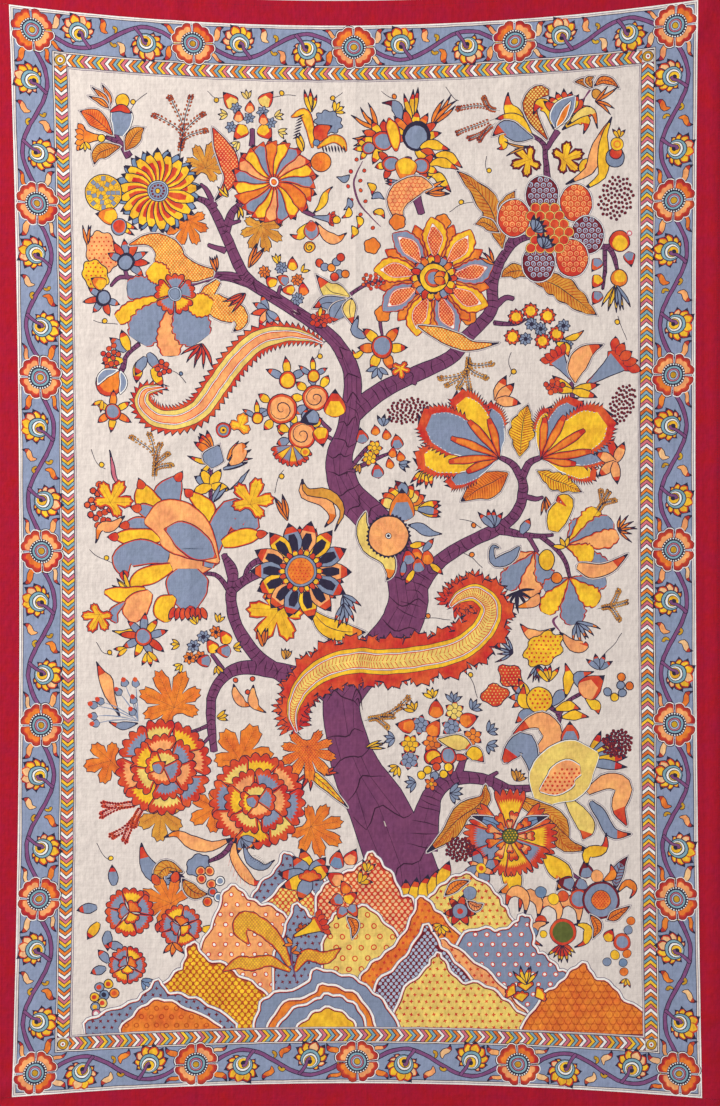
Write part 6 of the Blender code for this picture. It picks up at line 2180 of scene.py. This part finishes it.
# %% Cut it
GRID_STEP = 2.0
panel_x, panel_y = outlines[panel][0].real, outlines[panel][0].imag
low, high = complex(panel_x.min(), panel_y.min()), complex(panel_x.max(), panel_y.max())
MIDDLE = 0.03 + 0.02j  # the cloth is cut in four here, because one mesh would be too heavy
JOINS = ((complex(MIDDLE.real, low.imag - 1), complex(MIDDLE.real, high.imag + 1)),
         (complex(low.real - 1, MIDDLE.imag), complex(high.real + 1, MIDDLE.imag)))
spots, triangles, dye = first_pass()
print("first pass", len(triangles), "triangles")
spots, left = snapped(spots, dye_lines(triangles, dye))
spots, triangles, dye = second_pass(spots, left, loose_points(low, high, GRID_STEP), JOINS)
print("second pass", len(triangles), "triangles")

# %% [markdown]
# ## From triangles to cloth
# A sheet is closed: the face, a plain back a millimetre below it, and a narrow rim between the two.
# The back needs no drawing, so it is triangulated again from the sheet's outline and loose points
# alone. The UV map gives the face, the back and the rim a part of the square each, so that a baked
# picture of the cloth has a place for all of them.

# %% Closing a sheet
SHEET_THICK = 0.1  # centimetres
UV_RIM = 0.02  # the strip along the bottom of the UV square that the rim has
UV_RIM_LOW, UV_RIM_HIGH = 0.002, 0.016  # the rim itself, inside that strip
UV_GAP = 0.01
UV_MIDDLE = 0.5  # the face is to the left of it and the back to the right
SHARP_ANGLE = 50  # degrees: the rim stays crisp, and the folds are shaded smooth
BACK_STEP = 2.4  # between the loose points of a back


def outline_loop(triangles):
    """The points round the outside of some triangles, in order, with the cloth on the left."""
    starts = triangles.reshape(-1).tolist()
    ends = np.roll(triangles, -1, axis=1).reshape(-1).tolist()
    edges = set(zip(starts, ends))
    following = {a: b for a, b in edges if (b, a) not in edges}
    loop = [next(iter(following))]
    while following[loop[-1]] != loop[0]:
        loop.append(following[loop[-1]])
    return loop


def side_uv(spots, left, right):
    """Places on the UV square for one side of a sheet, between two uprights."""
    x = (spots.real - spots.real.min()) / np.ptp(spots.real)
    y = (spots.imag - spots.imag.min()) / np.ptp(spots.imag)
    return np.stack([left + (right - left) * x, UV_RIM + UV_GAP + (1 - UV_RIM - 2 * UV_GAP) * y], 1)


def close_sheet(name, spots, triangles, colours, back_colour, step=BACK_STEP):
    """A closed object from flat triangles: face, back and rim, lifted by the folds."""
    used, triangles = np.unique(triangles, return_inverse=True)
    triangles = triangles.reshape(-1, 3)
    spots = spots[used]
    loop = outline_loop(triangles)
    ring = spots[loop]
    low, high = ring.real.min() + 1j * ring.imag.min(), ring.real.max() + 1j * ring.imag.max()
    loose = loose_points(low, high, step)
    loose = loose[within(loose, ring)]
    ring_edges = [(n, (n + 1) % len(ring)) for n in range(len(ring))]
    back_spots, _, back, _, covered = triangulate(np.concatenate([ring, loose]), ring_edges,
        [list(range(len(ring)))])
    back = back[[bool(c) for c in covered]]
    face_z = rise(spots) + SHEET_THICK
    points = np.concatenate([
        np.stack([spots.real, spots.imag, face_z], 1),
        np.stack([back_spots.real, back_spots.imag, rise(back_spots)], 1)])
    rim, rim_uv = [], []
    along = np.concatenate([[0], abs(np.diff(np.append(ring, ring[0]))).cumsum()])
    along = UV_GAP + (1 - 2 * UV_GAP) * along / along[-1]
    for k, a in enumerate(loop):
        b, c = loop[(k + 1) % len(loop)], len(spots) + (k + 1) % len(loop)
        d = len(spots) + k
        rim += [(d, c, b), (d, b, a)]
        near, far = along[k], along[k + 1]
        rim_uv += [(near, UV_RIM_LOW), (far, UV_RIM_LOW), (far, UV_RIM_HIGH)]
        rim_uv += [(near, UV_RIM_LOW), (far, UV_RIM_HIGH), (near, UV_RIM_HIGH)]
    faces = np.concatenate([triangles, back[:, ::-1] + len(spots), np.array(rim)])
    mesh = bpy.data.meshes.new(name)
    mesh.vertices.add(len(points))
    mesh.vertices.foreach_set("co", (points / 100).astype(np.float32).reshape(-1))
    mesh.loops.add(len(faces) * 3)
    mesh.loops.foreach_set("vertex_index", faces.reshape(-1).astype(np.int32))
    mesh.polygons.add(len(faces))
    mesh.polygons.foreach_set("loop_start", np.arange(0, len(faces) * 3, 3, dtype=np.int32))
    mesh.update(calc_edges=True)
    mesh.polygons.foreach_set("use_smooth", np.ones(len(faces), bool))
    spread = np.full((len(faces), 4), back_colour, np.float32)
    spread[:len(triangles)] = colours
    spread[len(triangles) + len(back):] = colours[-1]
    paint = mesh.color_attributes.new("Paint", "FLOAT_COLOR", "CORNER")
    paint.data.foreach_set("color", np.repeat(spread, 3, axis=0).reshape(-1))
    uv = np.concatenate([side_uv(spots, UV_GAP, UV_MIDDLE - UV_GAP)[triangles.reshape(-1)],
                         side_uv(back_spots, 1 - UV_GAP, UV_MIDDLE + UV_GAP)[back[:, ::-1].reshape(-1)],
                         np.array(rim_uv)])
    mesh.uv_layers.new(name="OFBake").data.foreach_set("uv", uv.astype(np.float32).reshape(-1))
    mesh.set_sharp_from_angle(angle=math.radians(SHARP_ANGLE))
    cloth = bpy.data.objects.new(name, mesh)
    scene.collection.objects.link(cloth)
    corners = spots[triangles]
    run, over = corners[:, 1] - corners[:, 0], corners[:, 2] - corners[:, 0]
    area = (run.conjugate() * over).imag.sum() / 2 / 1e4
    size = (np.ptp(ring.real) / 100, np.ptp(ring.imag) / 100)
    print(name, len(faces), "triangles,", [round(float(side), 3) for side in size], "m")
    return cloth, size, area


def declare(cloth, node_name):
    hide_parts(node_name)
    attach(cloth, "root")


# %% [markdown]
# ## Painted cotton
# Vegetable dye never lies quite evenly: it pools where the brush stopped and runs thin where it was
# dry, and the threads of the cloth take it up more or less. So the paint is darkened and lightened by
# soft clouds, more on the strong colours than on the bare cloth, and by long thin streaks along the
# warp. A bump of small crinkles and threads gives the grain of washed cotton. All of it reads the
# Object coordinates, in metres, so it stays on the cloth.

# %% The grain of cotton
def stretched(tree, across, along):
    """Object coordinates, multiplied, for patterns that are longer one way."""
    place = node(tree, "ShaderNodeTexCoord")
    return node(tree, "ShaderNodeMapping", Vector=place.outputs["Object"],
                Scale=(across, along, 1.0)).outputs[0]


def between(tree, value, low, high):
    """A value from 0 to 1 brought between two others."""
    return node(tree, "ShaderNodeMapRange", Value=value, To_Min=low, To_Max=high).outputs[0]


def cotton(name, clouds, streaks, sheen):
    """A cotton material: the dye of the Paint attribute, made cloudy and streaked, over a fine grain.

    The clouds are how strong they are on bare cloth and on a strong dye.
    """
    material = bpy.data.materials.new(name)
    material.use_nodes = True
    tree = material.node_tree
    shader = tree.nodes["Principled BSDF"]
    colour = node(tree, "ShaderNodeAttribute", {"attribute_name": "Paint"}).outputs["Color"]
    cloud = node(tree, "ShaderNodeTexNoise", Vector=stretched(tree, 1, 1), Scale=24.0, Detail=4.0,
                 Roughness=0.6)
    blot = node(tree, "ShaderNodeTexNoise", Vector=stretched(tree, 1, 0.6), Scale=150.0, Detail=2.0)
    warp = node(tree, "ShaderNodeTexNoise", Vector=stretched(tree, 1.0, 0.05), Scale=420.0, Detail=2.0)
    weft = node(tree, "ShaderNodeTexNoise", Vector=stretched(tree, 0.05, 1.0), Scale=380.0, Detail=1.0)
    if clouds[0] == clouds[1]:
        strength = clouds[0]
    else:
        strong = node(tree, "ShaderNodeSeparateColor", {"mode": "HSV"}, Color=colour).outputs[1]
        strength = between(tree, strong, *clouds)
    parts = []
    for noise, share in ((cloud, 1.0), (blot, 1.0), (warp, streaks), (weft, streaks * 0.6)):
        swing = node(tree, "ShaderNodeMath", {"operation": "SUBTRACT"}, i0=noise.outputs[0],
                     i1=0.5).outputs[0]
        by = strength if share == 1.0 else share
        parts.append(node(tree, "ShaderNodeMath", {"operation": "MULTIPLY"}, i0=swing, i1=by).outputs[0])
    total = parts[0]
    for part in parts[1:]:
        total = node(tree, "ShaderNodeMath", {"operation": "ADD"}, i0=total, i1=part).outputs[0]
    bright = node(tree, "ShaderNodeMath", {"operation": "ADD"}, i0=total, i1=1.0).outputs[0]
    turned = node(tree, "ShaderNodeMath", {"operation": "MULTIPLY_ADD"}, i0=parts[0], i1=0.08,
                  i2=0.506).outputs[0]
    mottled = node(tree, "ShaderNodeHueSaturation", Hue=turned, Value=bright, Color=colour)
    tree.links.new(mottled.outputs[0], shader.inputs["Base Color"])
    crinkle = node(tree, "ShaderNodeTexNoise", Vector=stretched(tree, 1.0, 0.75), Scale=85.0, Detail=3.0)
    bump = node(tree, "ShaderNodeBump", Height=crinkle.outputs[0], Strength=0.6, Distance=0.0034)
    thread = node(tree, "ShaderNodeMath", {"operation": "ADD"}, i0=warp.outputs[0],
                  i1=weft.outputs[0]).outputs[0]
    grain = node(tree, "ShaderNodeBump", Height=thread, Strength=0.35, Distance=0.0006,
                 Normal=bump.outputs[0])
    tree.links.new(grain.outputs[0], shader.inputs["Normal"])
    shader.inputs["Roughness"].default_value = 0.88
    shader.inputs["Sheen Weight"].default_value = sheen
    shader.inputs["Sheen Roughness"].default_value = 0.5
    shader.inputs["Specular IOR Level"].default_value = 0.25
    return material


# %% The painted cloth, in four
painted_cotton = cotton("painted_cotton", (0.12, 0.75), 0.28, 0.03)
palette = np.array([linear(*DYES[name]) for name in DYES])
centres = spots[triangles].mean(1)
for end, upper in (("lower", False), ("upper", True)):
    for hand, right in (("left", False), ("right", True)):
        here = ((centres.imag > MIDDLE.imag) == upper) & ((centres.real > MIDDLE.real) == right)
        cloth, size, area = close_sheet("painted_cloth_" + end + "_" + hand, spots, triangles[here],
                                        palette[dye[here]], linear(205, 188, 178))
        cloth.data.materials.append(painted_cotton)
        declare(cloth, "painted_panel")

# %% [markdown]
# ## The plain strips
# Four strips of magenta cotton are sewn round the painted cloth: a long one at the top and at the
# bottom, and one up each side between them. They are the same kind of sheet as the painted cloth, laid
# by the same rule, so the seams fit without a gap that shows. The hem along a strip's outer edge is
# shown by its stitches alone.

# %% Strips
HEM_WIDE = 1.3
STRIP_STEP = 1.15  # between the points inside a strip
STRIP_START = 0.7  # from a strip's edge to the first of them
OUT_LEFT, OUT_RIGHT = -HALF_WIDTH - BORDER_WIDTH["left"], HALF_WIDTH + BORDER_WIDTH["right"]
OUT_BOTTOM, OUT_TOP = -HALF_HEIGHT - BORDER_WIDTH["bottom"], HALF_HEIGHT + BORDER_WIDTH["top"]
STRIPS = {
    "left": (OUT_LEFT - HALF_HEIGHT * 1j, -HALF_WIDTH - SEAM_GAP + HALF_HEIGHT * 1j),
    "right": (HALF_WIDTH + SEAM_GAP - HALF_HEIGHT * 1j, OUT_RIGHT + HALF_HEIGHT * 1j),
    "bottom": (OUT_LEFT + OUT_BOTTOM * 1j, OUT_RIGHT + (-HALF_HEIGHT - SEAM_GAP) * 1j),
    "top": (OUT_LEFT + (HALF_HEIGHT + SEAM_GAP) * 1j, OUT_RIGHT + OUT_TOP * 1j),
}


def rectangle(low, high, step=1.0):
    """Points round a rectangle, anticlockwise."""
    wide, tall = max(2, int((high.real - low.real) / step)), max(2, int((high.imag - low.imag) / step))
    across, along = np.linspace(low.real, high.real, wide), np.linspace(low.imag, high.imag, tall)
    return np.concatenate([across[:-1] + 1j * low.imag, high.real + 1j * along[:-1],
                           across[:0:-1] + 1j * high.imag, low.real + 1j * along[:0:-1]])


def strip_rows(low, high):
    """Where the rows of points across a strip go: even steps, and a few closer rows at each edge."""
    edge_rows = np.array([0.35, HEM_WIDE, HEM_WIDE + 0.2])
    even_rows = np.arange(low + STRIP_START, high, STRIP_STEP)
    return np.unique(np.concatenate([even_rows, low + edge_rows, high - edge_rows]))


def strip_sheet(side):
    """The points and triangles of one magenta strip, laid out."""
    low, high = STRIPS[side]
    ring = rectangle(low, high)
    x, y = strip_rows(low.real, high.real), strip_rows(low.imag, high.imag)
    inner = (x[None, :] + 1j * y[:, None]).reshape(-1)
    flat = np.concatenate([ring, inner])
    edges = [(n, (n + 1) % len(ring)) for n in range(len(ring))]
    made, _, triangles, _, covered = triangulate(lay(flat), edges, [list(range(len(ring)))])
    return made, triangles[[bool(c) for c in covered]]


magenta_cotton = cotton("magenta_cotton", (0.3, 0.3), 0.3, 0.02)
MAGENTA = linear(170, 10, 54)
for side in STRIPS:
    strip_spots, strip_triangles = strip_sheet(side)
    cloth, size, area = close_sheet("magenta_" + side, strip_spots, strip_triangles,
                                    np.tile(MAGENTA, (len(strip_triangles), 1)), MAGENTA)
    cloth.data.materials.append(magenta_cotton)
    declare(cloth, "border_" + side)

# %% [markdown]
# ## Stitches
# The seams and hems are sewn with a running stitch that shows as short bars of thread, a few
# millimetres apart. That is a shape repeated along a path, which is what Geometry Nodes are for: the
# path is cut into equal steps, and a small bar is set on each, turned to follow the path and a little
# uneven. One tree serves the seams and the hems, with its sizes as named inputs.

# %% The tree that sews
def stitch_tree():
    tree = bpy.data.node_groups.new("running_stitch", "GeometryNodeTree")
    tree.interface.new_socket("Geometry", in_out="INPUT", socket_type="NodeSocketGeometry")
    for name, value in (("Pitch", 0.005), ("Stitch Length", 0.003), ("Thread Radius", 0.0004),
                        ("Unevenness", 0.2)):
        tree.interface.new_socket(name, in_out="INPUT", socket_type="NodeSocketFloat").default_value = value
    tree.interface.new_socket("Thread", in_out="INPUT", socket_type="NodeSocketMaterial")
    tree.interface.new_socket("Geometry", in_out="OUTPUT", socket_type="NodeSocketGeometry")
    given = tree.nodes.new("NodeGroupInput").outputs
    path = node(tree, "GeometryNodeMeshToCurve", Mesh=given["Geometry"])
    steps = node(tree, "GeometryNodeResampleCurve", {"mode": "LENGTH"}, Curve=path.outputs[0],
                 Length=given["Pitch"])
    bar = node(tree, "GeometryNodeMeshIcoSphere", Radius=1.0, Subdivisions=1)
    size = node(tree, "ShaderNodeCombineXYZ", X=given["Stitch Length"], Y=given["Thread Radius"],
                Z=given["Thread Radius"])
    half = node(tree, "ShaderNodeVectorMath", {"operation": "MULTIPLY"}, i0=size.outputs[0],
                i1=(0.5, 1.0, 1.0))
    least = node(tree, "ShaderNodeMath", {"operation": "SUBTRACT"}, i0=1.0, i1=given["Unevenness"])
    share = node(tree, "FunctionNodeRandomValue", {"data_type": "FLOAT"}, i2=least.outputs[0], i3=1.0,
                 Seed=11)
    scale = node(tree, "ShaderNodeVectorMath", {"operation": "SCALE"}, i0=half.outputs[0],
                 Scale=share.outputs[1])
    tangent = node(tree, "GeometryNodeInputTangent")
    turn = node(tree, "FunctionNodeAlignRotationToVector", {"axis": "X"}, Vector=tangent.outputs[0])
    sewn = node(tree, "GeometryNodeInstanceOnPoints", Points=steps.outputs[0], Instance=bar.outputs[0],
                Rotation=turn.outputs[0], Scale=scale.outputs[0])
    real = node(tree, "GeometryNodeRealizeInstances", Geometry=sewn.outputs[0])
    dyed = node(tree, "GeometryNodeSetMaterial", Geometry=real.outputs[0], Material=given["Thread"])
    out = tree.nodes.new("NodeGroupOutput")
    tree.links.new(dyed.outputs[0], out.inputs[0])
    return tree


def sew(name, paths, thread, **sizes):
    """Sews along each path, given in flat coordinates, and leaves a plain mesh on top of the cloth."""
    points, edges = [], []
    for path in paths:
        spots = lay(path)
        tall = rise(spots) + SHEET_THICK + 0.01
        first = len(points)
        points += [(x / 100, y / 100, z / 100) for x, y, z in zip(spots.real, spots.imag, tall)]
        edges += [(n, n + 1) for n in range(first, len(points) - 1)]
    mesh = bpy.data.meshes.new(name + "_path")
    mesh.from_pydata(points, edges, [])
    guide = bpy.data.objects.new(name + "_path", mesh)
    scene.collection.objects.link(guide)
    modifier = guide.modifiers.new("Sewing", "NODES")
    modifier.node_group = STITCHING
    for item in STITCHING.interface.items_tree:
        if item.in_out == "INPUT" and item.name in sizes:
            modifier[item.identifier] = sizes[item.name]
        if item.name == "Thread":
            modifier[item.identifier] = thread
    made = bpy.data.meshes.new_from_object(guide.evaluated_get(bpy.context.evaluated_depsgraph_get()))
    bpy.data.objects.remove(guide, do_unlink=True)
    sewn = bpy.data.objects.new(name, made)
    scene.collection.objects.link(sewn)
    made.materials.clear()
    made.materials.append(thread)
    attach(sewn, "root")
    print(name, len(made.polygons), "faces")


# %% Seams and hems
def thread_material(name, colour):
    thread = bpy.data.materials.new(name)
    thread.use_nodes = True
    shader = thread.node_tree.nodes["Principled BSDF"]
    shader.inputs["Base Color"].default_value = colour
    shader.inputs["Roughness"].default_value = 0.7
    return thread


STITCHING = stitch_tree()
seam_thread = thread_material("seam_thread", linear(132, 20, 52))
SEAM_IN, HEM_IN = 0.28, 1.15
x, y = np.linspace(-HALF_WIDTH, HALF_WIDTH, 140), np.linspace(-HALF_HEIGHT, HALF_HEIGHT, 220)
seams = [x + 1j * (HALF_HEIGHT + SEAM_IN), x - 1j * (HALF_HEIGHT + SEAM_IN),
         -HALF_WIDTH - SEAM_IN + 1j * y, HALF_WIDTH + SEAM_IN + 1j * y]
sew("seam_stitches", seams, seam_thread, **{"Pitch": 0.0045, "Stitch Length": 0.003,
                                            "Thread Radius": 0.00035})
x, y = np.linspace(OUT_LEFT + HEM_IN, OUT_RIGHT - HEM_IN, 150), np.linspace(OUT_BOTTOM + HEM_IN,
    OUT_TOP - HEM_IN, 230)
hems = [x + 1j * (OUT_TOP - HEM_IN), x + 1j * (OUT_BOTTOM + HEM_IN), OUT_LEFT + HEM_IN + 1j * y,
        OUT_RIGHT - HEM_IN + 1j * y]
sew("hem_stitches", hems, seam_thread, **{"Pitch": 0.0055, "Stitch Length": 0.0035, "Thread Radius": 0.00035})
